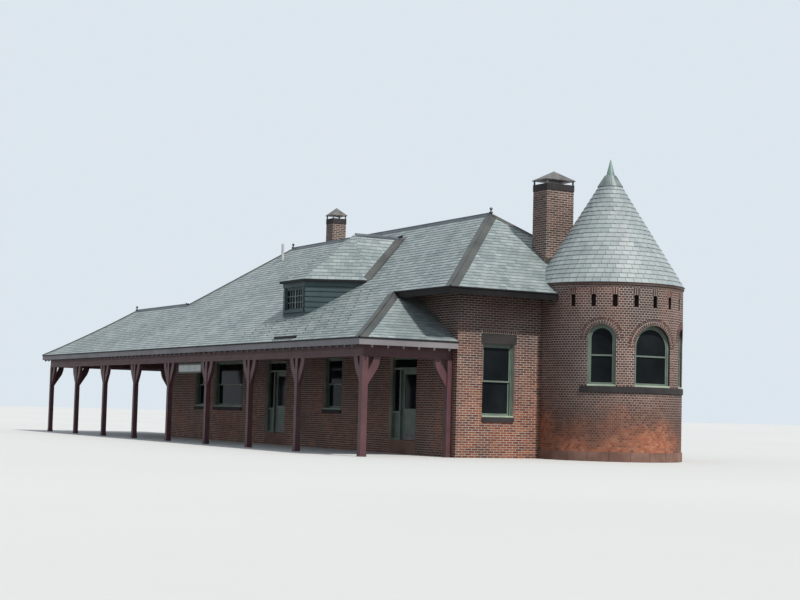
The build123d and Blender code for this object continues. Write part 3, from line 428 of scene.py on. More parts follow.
# %% Paint the solid model
slot_finish = {
    "brick": "mortar",
    "slate": "ceiling_boards",
    "maroon_timber": "maroon_paint",
    "green_timber": "green_paint",
    "grey_timber": "grey_paint",
    "dark_board": "dark_board",
    "glass": "dark_glass",
    "stone": "brown_stone",
    "concrete": "slab",
    "sheet_metal": "old_tin",
}
node_finish = {
    "dormer_front": "dormer_paint",
    "dormer_cheeks": "dormer_paint",
    "dormer_window": "dormer_paint",
    "upper_fascia": "eave_shade_paint",
    "tower_foot": "foot_stone",
    "door_thresholds": "foot_stone",
    "tower_cap": "patina",
    "vent_pipe": "white_enamel",
    "tower_wall": "tower_mortar",
    "tower_blank_walls": "tower_mortar",
}
for part in frame["record"]["subparts"]:
    node = part["node"]
    chosen = slot_finish[part["material_slot"]]
    for start, other in node_finish.items():
        if node.startswith(start):
            chosen = other
    nodes[node].data.materials.clear()
    nodes[node].data.materials.append(bpy.data.materials[chosen])

# %% [markdown]
# ## Laying blocks
# Slates, bricks and boards are all laid in courses, so one helper lays them all. It makes a grid, cuts
# it into separate tiles, shifts every second row, and shrinks each tile to leave a joint. Working flat is
# much simpler than working on a curved roof: the field is trimmed flat, and only then bent into place.
# The other way would be instances on points, but trimmed tiles at hips and windows need real geometry.

# %% A field of tiles
draw = random.Random(7)


def lay_field(width, height, unit, rise, joint, shift=0.5, at=(0, 0)):
    """A flat field of separate tiles, x across and y up, each with its random tint."""
    bm = bmesh.new()
    columns = ceil(width / unit) + 1
    rows = ceil(height / rise - 0.001)
    bmesh.ops.create_grid(bm, x_segments=columns, y_segments=rows, size=0.5)
    bmesh.ops.translate(bm, vec=(0.5, 0.5, 0), verts=bm.verts)
    bmesh.ops.scale(bm, vec=(columns * unit, rows * rise, 1), verts=bm.verts)
    bmesh.ops.split_edges(bm, edges=bm.edges)
    tint = bm.verts.layers.float.new("tint")
    for face in bm.faces:
        middle = face.calc_center_median()
        row = int(middle.y / rise)
        move = Vector((-unit * (shift if row % 2 else 0), 0, 0))
        shade = draw.random()
        for vert in face.verts:
            offset = vert.co - middle
            offset.x *= 1 - joint / unit
            offset.y *= 1 - joint / rise
            vert.co = middle + move + offset
            vert[tint] = shade
    bmesh.ops.translate(bm, vec=(*at, 0), verts=bm.verts)
    return bm


print("tiles get the same random tints in every run")

# %% [markdown]
# A field is trimmed with straight cuts, as a slater trims the slates at a hip. Outlines are convex, so
# every side of an outline is one cut right across. A hole is four cuts through the tiles near it, after
# which the tiles inside are removed. A boolean would do it too, but it is slow on thousands of tiles.

# %% Cutting a field
def cut(bm, x, y, nx, ny, faces=None):
    """Cut along the line through (x, y) and remove what lies on the side that the normal points to."""
    part = list(bm.faces) if faces is None else faces
    geometry = list(dict.fromkeys(item for face in part for item in (face, *face.edges, *face.verts)))
    bmesh.ops.bisect_plane(
        bm, geom=geometry, dist=1e-5, plane_co=(x, y, 0), plane_no=(nx, ny, 0), clear_outer=faces is None
    )


def rectangle(x0, x1, y0, y1):
    """The outline of a rectangle, anticlockwise."""
    return [(x0, y0), (x1, y0), (x1, y1), (x0, y1)]


def trim(bm, outline):
    """Keep what lies inside a convex outline, given anticlockwise."""
    for (x0, y0), (x1, y1) in zip(outline, outline[1:] + outline[:1]):
        cut(bm, x0, y0, y1 - y0, x0 - x1)


def punch(bm, x0, x1, y0, y1):
    """Cut a rectangular hole."""
    for x, y, nx, ny in ((x0, y0, 1, 0), (x1, y0, 1, 0), (x0, y0, 0, 1), (x0, y1, 0, 1)):
        near = [
            face
            for face in bm.faces
            if min(v.co.x for v in face.verts) < x1
            and max(v.co.x for v in face.verts) > x0
            and min(v.co.y for v in face.verts) < y1
            and max(v.co.y for v in face.verts) > y0
        ]
        cut(bm, x, y, nx, ny, near)
    drop(bm, lambda c: x0 < c.x < x1 and y0 < c.y < y1)


def drop(bm, inside):
    """Remove the tiles whose centre is inside a region."""
    gone = [face for face in bm.faces if inside(face.calc_center_median())]
    bmesh.ops.delete(bm, geom=gone, context="FACES")


print("cutting helpers ready")

# %% [markdown]
# Tiles get their thickness in one of two ways. A brick is pushed straight out of its bed. A slate or a
# clapboard is tilted, so that its lower edge stands proud of the one below, and that edge is closed.

# %% Thickness of the tiles
bed_gap = 0.002


def raise_blocks(bm, depth):
    """Give each tile its thickness, as a brick or stone that stands out of its bed."""
    tops = bmesh.ops.extrude_discrete_faces(bm, faces=bm.faces)["faces"]
    for vert in {vert for face in tops for vert in face.verts}:
        vert.co.z = depth


def raise_laps(bm, rise, depth):
    """Tilt each tile so that its lower edge stands proud, and close that edge down to the bed."""
    lip = bm.verts.layers.float.new("lip")
    for face in bm.faces:
        low = min(vert.co.y for vert in face.verts) + rise / 50
        base = low - low % rise
        for vert in face.verts:
            vert[lip] = min(1, max(0, (vert.co.y - base) / rise))
    lower = [e for e in bm.edges if e.is_boundary and e.verts[0][lip] < 0.1 and e.verts[1][lip] < 0.1]
    for vert in bm.verts:
        vert.co.z = depth * (1 - vert[lip]) + bed_gap
    butts = bmesh.ops.extrude_edge_only(bm, edges=lower)["geom"]
    for vert in [item for item in butts if isinstance(item, bmesh.types.BMVert)]:
        vert.co.z = 0


print("tiles lie", bed_gap * 1000, "mm off their bed")

# %% [markdown]
# At last a field is bent onto the building, joined with the others of its kind, and made an object. Each
# finished piece says which body it rides on, so that the doors' trim turns with the doors.

# %% Bending, joining and building
def bend(bm, place):
    """Move every point of a flat field to its place on the building."""
    for vert in bm.verts:
        vert.co = place(vert.co)


def merge(fields):
    """Join several meshes into one."""
    whole = bmesh.new()
    for name in ("tint", "lip"):
        whole.verts.layers.float.new(name)
    for field in fields:
        mesh = bpy.data.meshes.new("part")
        field.to_mesh(mesh)
        field.free()
        whole.from_mesh(mesh)
        bpy.data.meshes.remove(mesh)
    return whole


def build(bm, name, material, body="building", smooth=False):
    """Turn a mesh into a piece of the station, with a finish and the body that it rides on."""
    bmesh.ops.translate(bm, vec=corner, verts=bm.verts)
    for face in bm.faces:
        face.smooth = smooth
    mesh = bpy.data.meshes.new(name)
    bm.to_mesh(mesh)
    bm.free()
    mesh.materials.append(bpy.data.materials[material])
    piece = bpy.data.objects.new(name, mesh)
    bpy.context.scene.collection.objects.link(piece)
    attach(piece, body)
    print(name, len(mesh.polygons), "faces")


# %% [markdown]
# ## Where the slates stop
# The slates stop inside the dormer and inside the tower. The dormer is half an octagon in plan, and the
# tower is a cylinder with a cone on it. A tile whose middle lies inside is left out, and the rest tuck
# in a little below, so no gap shows where they meet the walls.

# %% Where the slates stop
dormer_x = -7.19
dormer_front_y, dormer_front_half = -1.77, 0.842
dormer_side_y, dormer_side_half = -0.138, 1.783
dormer_apex_y = 0.467
dormer_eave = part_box("dormer_roof")[0][2]
dormer_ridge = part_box("dormer_roof")[1][2]
dormer_overhang = 0.12
dormer_tuck = 2.5 * dormer_overhang
dormer_stop_y = 0.1
tower_tuck = 0.12


def inside_dormer(x, y):
    """Inside the dormer's walls, in plan."""
    side = abs(x - dormer_x)
    lean = (dormer_side_half - dormer_front_half) / (dormer_side_y - dormer_front_y)
    limit = min(dormer_side_half, dormer_front_half + (y - dormer_front_y) * lean) - dormer_tuck
    return dormer_front_y + dormer_tuck < y < dormer_stop_y and side < limit


def inside_tower(place):
    """Inside the round wall, or inside the cone above it."""
    narrowing = max(0, place.z - cone_foot) / cone_height
    reach = (Vector(place.to_2d()) - Vector((tower_x, tower_y))).length
    return reach < tower_radius * (1 - narrowing) - tower_tuck


print("dormer eave", round(dormer_eave, 3), "ridge", round(dormer_ridge, 3))

# %% [markdown]
# ## Slates on the straight slopes
# A real roof is slated from the eave up, each course covering the heads of the one below. Only the
# exposed lower part shows, so each tile here is that part, tilted so that its lower edge stands proud.
# Seventeen courses fit between the low eave and the high one, so both eaves start with a whole slate.
# Every slope is given as one or more convex outlines in plan, and its field is trimmed to each of them.

# %% Slates on the straight slopes
course_run = high_eave_run / 17
slate_width = 0.25
slate_joint = 0.006
slate_lap = 0.013


def slated(slope, plans):
    """Slates on one slope, trimmed to one or more convex plan outlines."""
    fields = []
    for plan in plans:
        outline = [slope.flat(point) for point in plan]
        area = sum(x0 * y1 - x1 * y0 for (x0, y0), (x1, y1) in zip(outline, outline[1:] + outline[:1]))
        if area < 0:
            outline.reverse()
        low = min(x for x, y in outline) // slate_width * slate_width
        width = max(x for x, y in outline) - low
        first = 2 * int(min(y for x, y in outline) / course_run / 2 + 0.01)
        height = max(y for x, y in outline) - first * course_run
        start = (low, first * course_run)
        bm = lay_field(width + slate_width, height, slate_width, course_run, slate_joint, at=start)
        trim(bm, outline)
        raise_laps(bm, course_run, slate_lap)
        bend(bm, slope.place)
        drop(bm, inside_tower)
        drop(bm, lambda c: inside_dormer(c.x, c.y))
        fields.append(bm)
    return merge(fields)


print("course", round(course_run * 1000, 1), "mm in plan")

# %% [markdown]
# The outlines come from a few corners: where the eaves meet, where the hips end on the ridge, and where
# the roof of the shelter joins the main one. The part behind the house wall is left out.

# %% The slopes and their outlines
near_eave_y, back_eave_y = -eave_overhang, body_width + eave_overhang
hip_top_x = porch_end_x - high_eave_run
valley_y = shelter_back_y - high_eave_run
room_y = 0.915
ridge_near, ridge_far = (ridge_near_x, ridge_y), (ridge_far_x, ridge_y)
near_corner, back_corner = (eave_overhang, near_eave_y), (eave_overhang, back_eave_y)
left_corner = (left_eave_x, back_eave_y)
joint_ridge, joint_foot = (joint_x, shelter_ridge_y), (joint_x, -porch_reach)
porch_top, porch_corner = (hip_top_x, near_eave_y), (porch_end_x, -porch_reach)
shelter_top = (shelter_eave_x + shelter_half, shelter_ridge_y)
shelter_front = (shelter_eave_x, -porch_reach)
shelter_back_corner, shelter_inner = (shelter_eave_x, shelter_back_y), (left_eave_x, shelter_back_y)
slopes = {
    "main_track_slates": (track, [[ridge_near, near_corner, (joint_x, near_eave_y), joint_ridge, ridge_far]]),
    "main_end_slates": (end, [[ridge_near, near_corner, back_corner]]),
    "main_far_slates": (far, [[ridge_near, ridge_far, left_corner, back_corner]]),
    "main_left_slates": (left, [[ridge_far, joint_ridge, (left_eave_x, valley_y), left_corner]]),
    "porch_track_slates": (track, [[porch_top, porch_corner, joint_foot, (joint_x, near_eave_y)]]),
    "porch_end_slates": (porch_end, [[porch_corner, porch_top, (hip_top_x, 0), (porch_end_x, 0)]]),
    "shelter_track_slates": (track, [[shelter_top, shelter_front, joint_foot, joint_ridge]]),
    "shelter_end_slates": (shelter_end, [[shelter_top, shelter_back_corner, shelter_front]]),
    "shelter_back_slates": (shelter_back, [
        [shelter_top, (left_eave_x, shelter_ridge_y), shelter_inner, shelter_back_corner],
        [(left_eave_x, shelter_ridge_y), joint_ridge, (left_eave_x, valley_y)],
        [(left_eave_x, room_y), (-body_length, room_y), (-body_length, shelter_back_y), shelter_inner],
    ]),
}
for name, (slope, plans) in slopes.items():
    build(slated(slope, plans), name, "roof_slate")

# %% [markdown]
# ## Slates on the tower
# The cone has twenty-two courses. Each is a flat field of its own, rolled round the cone. A fixed number
# of slates in every ring would make needles near the top, so the number falls with the ring's size, and
# the slates keep about the same width, as a slater would cut them.

# %% Slates on the tower
cone_courses = 22
cone_top = 8.07
cone_slate, cone_joint, cone_bed = 0.24, 0.004, 0.006
fewest_slates = 24
lap_out = sqrt(1 + (cone_radius / cone_height) ** 2)


def cone_ring(index):
    """One course of slates round the cone."""
    rise = (cone_top - cone_foot) / cone_courses
    z = cone_foot + index * rise
    radius = cone_radius * (1 - (z - cone_foot) / cone_height)
    count = max(fewest_slates, round(2 * pi * radius / cone_slate))
    bm = lay_field(2 * pi, rise, 2 * pi / count, rise, cone_joint)
    raise_laps(bm, rise, slate_lap)
    drop(bm, lambda c: c.x > 2 * pi)
    for vert in bm.verts:
        vert.co.x += (index % 2) * pi / count

    def roll(point):
        """Where a point of the flat field lies on the cone."""
        height = z + point.y
        reach = cone_radius * (1 - (height - cone_foot) / cone_height) + point.z * lap_out + cone_bed
        return Vector((tower_x + reach * cos(point.x), tower_y + reach * sin(point.x), height))

    bend(bm, roll)
    return bm


build(merge([cone_ring(index) for index in range(cone_courses)]), "tower_slates", "tower_slate")

# %% [markdown]
# ## Slates on the dormer
# The dormer's roof has three flat facets at the front and two that run back into the big slope, where
# they meet it in open valleys. A facet is the same kind of slope, with a straight rise of its own.

# %% Facets of the dormer
apex = (dormer_x, dormer_apex_y)
front_left = (dormer_x - dormer_front_half, dormer_front_y)
front_right = (dormer_x + dormer_front_half, dormer_front_y)
side_left = (dormer_x - dormer_side_half, dormer_side_y)
side_right = (dormer_x + dormer_side_half, dormer_side_y)
front_eaves = [(front_left, front_right), (front_right, side_right), (side_left, front_left)]
valley_foot_y = 0.014
dormer_ridge_end = (dormer_x, 2.256)


def facet(start, stop, run=None):
    """A flat slope above the eave line from start to stop, which climbs to the left of that line.

    It reaches the ridge after its run. If none is given, that is its distance to the apex.
    """
    edge = Vector(stop) - Vector(start)
    offset = Vector(apex) - Vector(start)
    run = run or abs(edge.x * offset.y - edge.y * offset.x) / edge.length
    pitch = (dormer_ridge - dormer_eave) / run
    edge.normalize()
    return Slope(start, (-edge.y, edge.x), lambda inward: dormer_eave + inward * pitch)


facets = [(facet(start, stop), [start, stop, apex]) for start, stop in front_eaves]
for side in (-1, 1):
    eave_x = dormer_x + side * dormer_side_half
    eave = [(eave_x, dormer_side_y), (eave_x, valley_foot_y)]
    plan = [*eave, dormer_ridge_end, apex]
    if side < 0:
        eave.reverse()
        plan.reverse()
    facets.append((facet(*eave, dormer_side_half), plan))
print("dormer facets:", len(facets))

# %% [markdown]
# The dormer's courses are counted for themselves. They are a little closer than on the big roof, and
# start with a whole slate at the dormer's own eave.

# %% Slates on the dormer
dormer_course = 0.135


def slated_facet(facet, plan):
    """Slates on one facet, trimmed to its outline in plan."""
    outline = [facet.flat(point) for point in plan]
    low = min(x for x, y in outline)
    width = max(x for x, y in outline) - low
    height = max(y for x, y in outline)
    bm = lay_field(width + slate_width, height, slate_width, dormer_course, slate_joint, at=(low, 0))
    trim(bm, outline)
    raise_laps(bm, dormer_course, slate_lap)
    bend(bm, facet.place)
    return bm


build(merge([slated_facet(*item) for item in facets]), "dormer_slates", "roof_slate")

# %% [markdown]
# ## Hips, ridges and valleys
# Where two slopes meet, sheet metal covers the joint. On this roof it is wide and folded, with a seam
# down the middle. Each strip is a grid whose columns are the edges, the wings and the seam, and whose
# rows follow the hip. Its heights come from the two slopes beside it, so it always lies on the slates.

# %% Helper for folded strips
seam_half, seam_foot = 0.012, 0.03


def folded_strip(start, stop, wing, seam, first, second, steps=12, lift=0.016, limits=()):
    """Sheet metal over the line from start to stop. first and second give the height on each side.

    Limits are plan lines (x, y, outward x, outward y) where the metal is cut off flush with an eave.
    """
    start, stop = Vector(start), Vector(stop)
    if limits:
        stop = stop + (stop - start).normalized() * wing
    across = Vector((-(stop - start).y, (stop - start).x)).normalized()
    offsets = (-wing, -wing, -seam_foot, -seam_half, seam_half, seam_foot, wing, wing)
    lifts = (0.0, lift, lift, seam, seam, lift, lift, 0.0)
    bm = bmesh.new()
    bmesh.ops.create_grid(bm, x_segments=len(offsets) - 1, y_segments=steps, size=0.5)
    for vert in bm.verts:
        column = round((vert.co.x + 0.5) * (len(offsets) - 1))
        middle = start.lerp(stop, vert.co.y + 0.5)
        plan = middle + across * offsets[column]
        height = min(first(plan), second(plan))
        vert.co = Vector((plan.x, plan.y, height + lifts[column]))
    for limit in limits:
        cut(bm, *limit)
    bmesh.ops.recalc_face_normals(bm, faces=bm.faces)
    if sum(face.normal.z for face in bm.faces) < 0:
        bmesh.ops.reverse_faces(bm, faces=bm.faces)
    return bm


print("a seam is", 2 * seam_half * 1000, "mm wide")

# %% [markdown]
# ### Hip metal
# A hip's strip is cut at both eaves that meet at its foot, so it ends in a corner like the roof below it.

# %% Hip metal
drip_reach = 0.02
wide_wing, middle_wing, narrow_wing = 0.19, 0.14, 0.12
hip_seam, joint_seam = 0.045, 0.04


def eave_limits(x, y):
    """The two eaves that meet at a corner of the roof, with a little overhang for the drip."""
    middle_x, middle_y = (shelter_eave_x + porch_end_x) / 2, ridge_y
    side_x = 1 if x > middle_x else -1
    side_y = 1 if y > middle_y else -1
    return [(x + side_x * drip_reach, y, side_x, 0), (x, y + side_y * drip_reach, 0, side_y)]


hips = []
for top, foot, wing, first, second in (
    (ridge_near, near_corner, wide_wing, track, end),
    (porch_top, porch_corner, wide_wing, track, porch_end),
    (ridge_near, back_corner, middle_wing, end, far),
    (ridge_far, left_corner, wide_wing, far, left),
    (shelter_top, shelter_front, narrow_wing, track, shelter_end),
    (shelter_top, shelter_back_corner, wide_wing, shelter_end, shelter_back),
):
    limits = eave_limits(*foot)
    hips.append(folded_strip(top, foot, wing, hip_seam, first.height, second.height, limits=limits))
hips.append(folded_strip(ridge_far, joint_ridge, narrow_wing, joint_seam, track.height, left.height))
build(merge(hips), "hip_flashings", "hip_metal")

# %% [markdown]
# ### Ridge caps
# A ridge cap is narrower and stands higher than the hip metal, because it sheds water to both sides.

# %% Ridge caps
ridge_wing, ridge_seam, ridge_lift = 0.11, 0.07, 0.03
dormer_wing, dormer_seam = 0.09, 0.06
ridges = []
for start, stop, wing, seam, first, second, steps in (
    (ridge_near, ridge_far, ridge_wing, ridge_seam, track, far, 40),
    (shelter_top, joint_ridge, ridge_wing, ridge_seam, track, shelter_back, 24),
    (apex, dormer_ridge_end, dormer_wing, dormer_seam, facets[3][0], facets[4][0], 6),
):
    ridges.append(folded_strip(start, stop, wing, seam, first.height, second.height, steps, ridge_lift))
build(merge(ridges), "ridge_caps", "ridge_metal")

# %% [markdown]
# ### Valley metal
# A valley is the same strip in the fold between two slopes, where the higher slope carries the metal.

# %% Valley metal
valley_wing, valley_seam = 0.15, 0.03


def valley_strip(start, stop, first, second):
    """Open valley between two slopes, from its foot to its top."""

    def higher(point):
        """The height of whichever slope is on top."""
        return max(first.height(point), second.height(point))

    return folded_strip(start, stop, valley_wing, valley_seam, higher, higher, 8)


valleys = []
for side, facet in ((-1, facets[3][0]), (1, facets[4][0])):
    foot = (dormer_x + side * dormer_side_half, valley_foot_y)
    valleys.append(valley_strip(foot, dormer_ridge_end, facet, track))
valleys.append(valley_strip((left_eave_x, valley_y), joint_ridge, left, shelter_back))
build(merge(valleys), "valley_flashings", "hip_metal")

# %% [markdown]
# ## Bricks on the straight walls
# The bricks are stretchers in courses of 67.7 mm. Their joints are 15 mm, a little wider than a mason
# makes them, so that they still show from a distance. They are laid flat, and a wall's face then says
# where each point of the flat field really goes.

# %% Sizes of a brick, and faces of walls
course = 0.0677
brick_unit = 0.213
brick_joint = 0.015
brick_depth = 0.003
jamb_unit = 0.11


class Wall:
    """A flat wall: x runs along it, y is the height, and z stands out of it."""

    def __init__(self, start, along):
        self.start = Vector((*start, 0))
        self.along = Vector((*along, 0))
        self.out = self.along.cross(Vector((0, 0, 1)))

    def place(self, point):
        """Where a point of a flat field lies on the wall."""
        return self.start + self.along * point.x + Vector((0, 0, point.y)) + self.out * point.z


print("bricks", brick_unit - brick_joint, "by", round(course - brick_joint, 4))

# %% [markdown]
# A wall is a flat field whose windows are punched out before the bricks get their thickness. The sides
# of each opening get their own narrow fields, because a wall's brickwork turns the corner into its
# openings. Over some of them a course stands on end.

# %% Helpers that lay bricks
def bricked(wall, width, height, holes=(), low=0.0, outline=None, unit=brick_unit):
    """Bricks on a wall, with rectangular holes (left, right, sill, head)."""
    bm = lay_field(width + unit, height - low, unit, course, brick_joint, at=(0, low))
    trim(bm, outline or rectangle(0, width, low, height))
    for hole in holes:
        punch(bm, *hole)
    raise_blocks(bm, brick_depth)
    bend(bm, wall.place)
    return bm


def jambs(wall, hole, depth):
    """Bricks on both sides of an opening, from the wall's face inwards."""
    x0, x1, sill, head = hole
    sides = [
        Wall((wall.start + wall.along * x0 - wall.out * depth).to_2d(), wall.out.to_2d()),
        Wall((wall.start + wall.along * x1).to_2d(), (-wall.out).to_2d()),
    ]
    return [bricked(side, depth, head, low=sill, unit=jamb_unit) for side in sides]


def on_end(x0, x1, low, high, joint, start=0.0):
    """A course of bricks on end, still flat."""
    bm = lay_field(x1 - x0, high - low, course, high - low, joint, at=(x0 + start, low))
    trim(bm, rectangle(x0, x1, low, high))
    raise_blocks(bm, brick_depth)
    return bm


print("bricks stand out by", brick_depth)

# %% [markdown]
# Every window is a hole in the bricks, with a stone lintel above it and a stone sill below. Both stones
# are solid nodes already, so the bricks only keep clear of them. The numbers are the part's own.

# %% Places of windows and doors
window_reveal, door_reveal = 0.11, 0.09
lintel_rise, sill_drop, bearing = 0.29, 0.12, 0.06
window_width, window_sill, window_head = 1.08, 1.15, 3.24
track_sill, track_head = 1.25, 2.93
door_width, door_head, floor_level = 1.6, 2.86, 0.4
doorways = [(-2.23 - door_width, -2.23), (-11.05 - door_width, -11.05)]
track_windows = [(-7.575, 1.28), (-body_length + 3.75, 2.6), (-body_length + 1.15, window_width)]
far_step = body_length / 6
far_windows = [(far_step * (i + 1.2), window_width) for i in range(5)]
end_window = 1.385
left_window = 1.5

end_face = Wall((0, 0), (0, 1))
track_face = Wall((-body_length, 0), (1, 0))
far_face = Wall((0, body_width), (-1, 0))
left_face = Wall((-body_length, body_width), (0, -1))
tower_meets_end = tower_y - sqrt(tower_radius**2 - tower_x**2)
tower_meets_far = sqrt(tower_radius**2 - (body_width - tower_y) ** 2) - tower_x


def window_hole(middle, width, sill, head):
    """The opening itself, then the places of its lintel and of its sill."""
    half = width / 2
    return [
        (middle - half, middle + half, sill, head),
        (middle - half - bearing, middle + half + bearing, head, head + lintel_rise),
        (middle - half, middle + half, sill - sill_drop, sill),
    ]


print("windows:", 2 + len(track_windows) + len(far_windows), "doorways:", len(doorways))

# %% [markdown]
# ### End wall
# It has one sash window, and its lintel carries a course of bricks on end. The wall stops where the
# round tower begins.

# %% Bricks on the end wall
soldier_rise = 0.1
end_holes = window_hole(end_window, window_width, window_sill, window_head)
left_end, right_end, _, lintel_top = end_holes[1]
end_holes.append((left_end, right_end, lintel_top, lintel_top + soldier_rise))
fields = [bricked(end_face, tower_meets_end, wall_top, end_holes)]
fields.append(on_end(*end_holes[3], brick_joint, course / 2))
bend(fields[1], end_face.place)
fields += jambs(end_face, end_holes[0], window_reveal)
build(merge(fields), "end_wall_bricks", "wall_brick")

# %% [markdown]
# ### Track wall, far wall and left wall
# The track wall has three windows and two doorways. Its doorways start at the wall's foot, and their
# bricked sides start on the floor of the hall. The far wall has five windows, evenly spaced, and starts
# at the tower. The left wall has one window.

# %% Bricks on the other walls
track_holes, reveals = [], []
for x, width in track_windows:
    holes = window_hole(x + body_length, width, track_sill, track_head)
    track_holes += holes
    reveals += jambs(track_face, holes[0], window_reveal)
for x0, x1 in doorways:
    doorway = (x0 + body_length, x1 + body_length, 0.0, door_head)
    track_holes.append(doorway)
    reveals += jambs(track_face, (doorway[0], doorway[1], floor_level, door_head), door_reveal)
fields = [bricked(track_face, body_length, wall_top, track_holes)] + reveals
build(merge(fields), "track_wall_bricks", "wall_brick")

far_holes, reveals = [], []
for x, width in far_windows:
    holes = window_hole(x, width, window_sill, window_head)
    far_holes += holes
    reveals += jambs(far_face, holes[0], window_reveal)
shown = rectangle(tower_meets_far, body_length, 0, wall_top)
fields = [bricked(far_face, body_length, wall_top, far_holes, outline=shown)] + reveals
build(merge(fields), "far_wall_bricks", "wall_brick")

left_holes = window_hole(left_window, window_width, window_sill, window_head)
fields = [bricked(left_face, body_width, wall_top, left_holes)]
fields += jambs(left_face, left_holes[0], window_reveal)
build(merge(fields), "left_wall_bricks", "wall_brick")

# %% [markdown]
# ### Small room
# The small room below the shelter has sloping wall tops, because its walls run up to the slates. Its end
# wall is trimmed to the line of the roof's underside.

# %% Bricks on the small room
annex_length, annex_depth = 1.8, 2.6
annex_x = -body_length - annex_length
front_wall_top, full_courses = 4.45, 65
below_slates = plate_thickness + 0.01
front_top = shelter_back.height((annex_x, 0)) - below_slates
back_top = shelter_back.height((annex_x, annex_depth)) - below_slates
sheltered = annex_length - eave_overhang
sloping = [(0, 0), (annex_depth, 0), (annex_depth, front_top), (0, back_top)]
annex_front = Wall((annex_x, 0), (1, 0))
annex_back = Wall((-body_length, annex_depth), (-1, 0))
annex_end = Wall((annex_x, annex_depth), (0, -1))
fields = [
    bricked(annex_front, annex_length, front_wall_top),
    bricked(annex_front, sheltered, front_top, low=full_courses * course),
    bricked(annex_back, annex_length, back_top),
    bricked(annex_end, annex_depth, front_top, outline=sloping),
]
build(merge(fields), "small_room_bricks", "wall_brick")

# %% [markdown]
# ## Bricks on the tower
# The round wall is the same field, rolled up. Stretchers would make its curve ragged, so it is laid in
# headers, the short ends of the bricks. Distances along the flat field and angles round the tower are
# turned into each other by one pair of helpers.

# %% Rolling up the tower
arch_sill, arch_crown = 2.105, 3.855
arch_windows = [(-42, 0.81), (0, 1.27), (42, 0.81), (84, 0.81)]
header, header_joint = 0.107, 0.013
slot_angles = [-64.8 + 16.2 * i for i in range(14)]
slot_low, slot_high, slot_width = 4.36, 4.70, 0.14
soldier_low, soldier_high = slot_high + 0.005, slot_high + 0.205
soldier_half = 1.5 * course
tower_top, foot_high = 4.98, 0.27
band_low, band_start, band_stop = arch_sill - 0.165, -58, 100
start_angle = atan2(tower_meets_end - tower_y, -tower_x)
tower_turn = atan2(body_width - tower_y, -tower_meets_far - tower_x) - start_angle
tower_run = tower_turn * tower_radius


def along_tower(angle):
    """Distance along the flat field for an angle in degrees."""
    return (radians(angle) - start_angle) * tower_radius


def roll_up(point):
    """The place on the tower for a point of the flat field."""
    angle = start_angle + point.x / tower_radius
    reach = tower_radius + point.z
    return Vector((tower_x + reach * cos(angle), tower_y + reach * sin(angle), point.y))


print("the tower's brickwork is", round(tower_run, 2), "long when it lies flat")

# %% [markdown]
# Its windows have round heads, so the bricks whose middle falls inside the arch are left out, and two
# rings of headers cover the ragged edge. A ring is one header that is turned about the middle of the
# arch again and again, while everything is still flat.

# %% Rings of the arches
ring_depth, ring_brick = 0.105, 0.074
ring_joint_across, ring_joint_along = 0.015, 0.017
ring_proud = 0.004


def arch_ring(middle, opening, ring):
    """One ring of headers round an arch of a given width. Ring 0 is the inner one."""
    bm = bmesh.new()
    tint = bm.verts.layers.float.new("tint")
    spring = arch_crown - opening / 2
    radius = opening / 2 + ring_depth * (ring + 0.5)
    count = round(pi * radius / ring_brick)
    width = pi * radius / count
    size = Matrix.Diagonal((ring_depth - ring_joint_across, width - ring_joint_along, 1, 1))
    for index in range(count):
        angle = pi * (index + 0.5) / count
        spin = Matrix.Translation((middle, spring, 0)) @ Matrix.Rotation(angle, 4, "Z")
        place = spin @ Matrix.Translation((radius, 0, 0)) @ size
        tile = bmesh.ops.create_grid(bm, x_segments=1, y_segments=1, size=0.5, matrix=place)["verts"]
        shade = draw.random()
        for vert in tile:
            vert[tint] = shade
    raise_blocks(bm, brick_depth + ring_proud)
    return bm


print("a ring is", ring_depth, "deep")

# %% [markdown]
# Now the field itself. A hole below each arch, the slots with their heads, and the stone band below the
# windows are left open. Then three bricks on end close the top of each slot, and the rings are laid.

# %% Bricks on the tower
ring_cover = 0.05
field = lay_field(tower_run + header, tower_top, header, course, header_joint)
trim(field, rectangle(0, tower_run, foot_high, tower_top))
for angle, width in arch_windows:
    middle, spring = along_tower(angle), arch_crown - width / 2
    reach = width / 2 + 2 * ring_depth - ring_cover
    punch(field, middle - width / 2, middle + width / 2, arch_sill, spring)
    drop(field, lambda c: c.y > spring and (c.x - middle) ** 2 + (c.y - spring) ** 2 < reach**2)
slot_heads = []
for angle in slot_angles:
    middle = along_tower(angle)
    slot_heads.append((middle - soldier_half, middle + soldier_half, soldier_low, soldier_high))
    punch(field, middle - slot_width / 2, middle + slot_width / 2, slot_low, slot_high)
    punch(field, *slot_heads[-1])
punch(field, along_tower(band_start), along_tower(band_stop), band_low, arch_sill)
raise_blocks(field, brick_depth)
parts = [field] + [on_end(*head, header_joint) for head in slot_heads]
for angle, width in arch_windows:
    parts += [arch_ring(along_tower(angle), width, ring) for ring in range(2)]
for part in parts:
    bend(part, roll_up)
build(merge(parts), "tower_bricks", "tower_brick")

# %% [markdown]
# ## Bars, boards and trim
# Many small timbers are straight bars: rafter ends, window bars, casings, corner boards. One helper
# makes a bar between two corners, another rounds the edges of all bars of a kind at once, and they
# become one piece. A bar may lie in the frame of a matrix, such as one that follows a line in plan.

# %% Helpers for bars
level = Matrix.Identity(4)


def bar(bm, low, high, place=level):
    """A straight bar between two opposite corners."""
    low, high = Vector(low), Vector(high)
    size = Matrix.Diagonal((*(high - low), 1))
    bmesh.ops.create_cube(bm, size=1, matrix=place @ Matrix.Translation((low + high) / 2) @ size)


def ease(bm, radius, segments=1):
    """Round the edges of every bar a little, as planed timber has."""
    bmesh.ops.bevel(
        bm, geom=bm.edges, offset=radius, segments=segments, profile=0.5, affect="EDGES", material=-1
    )


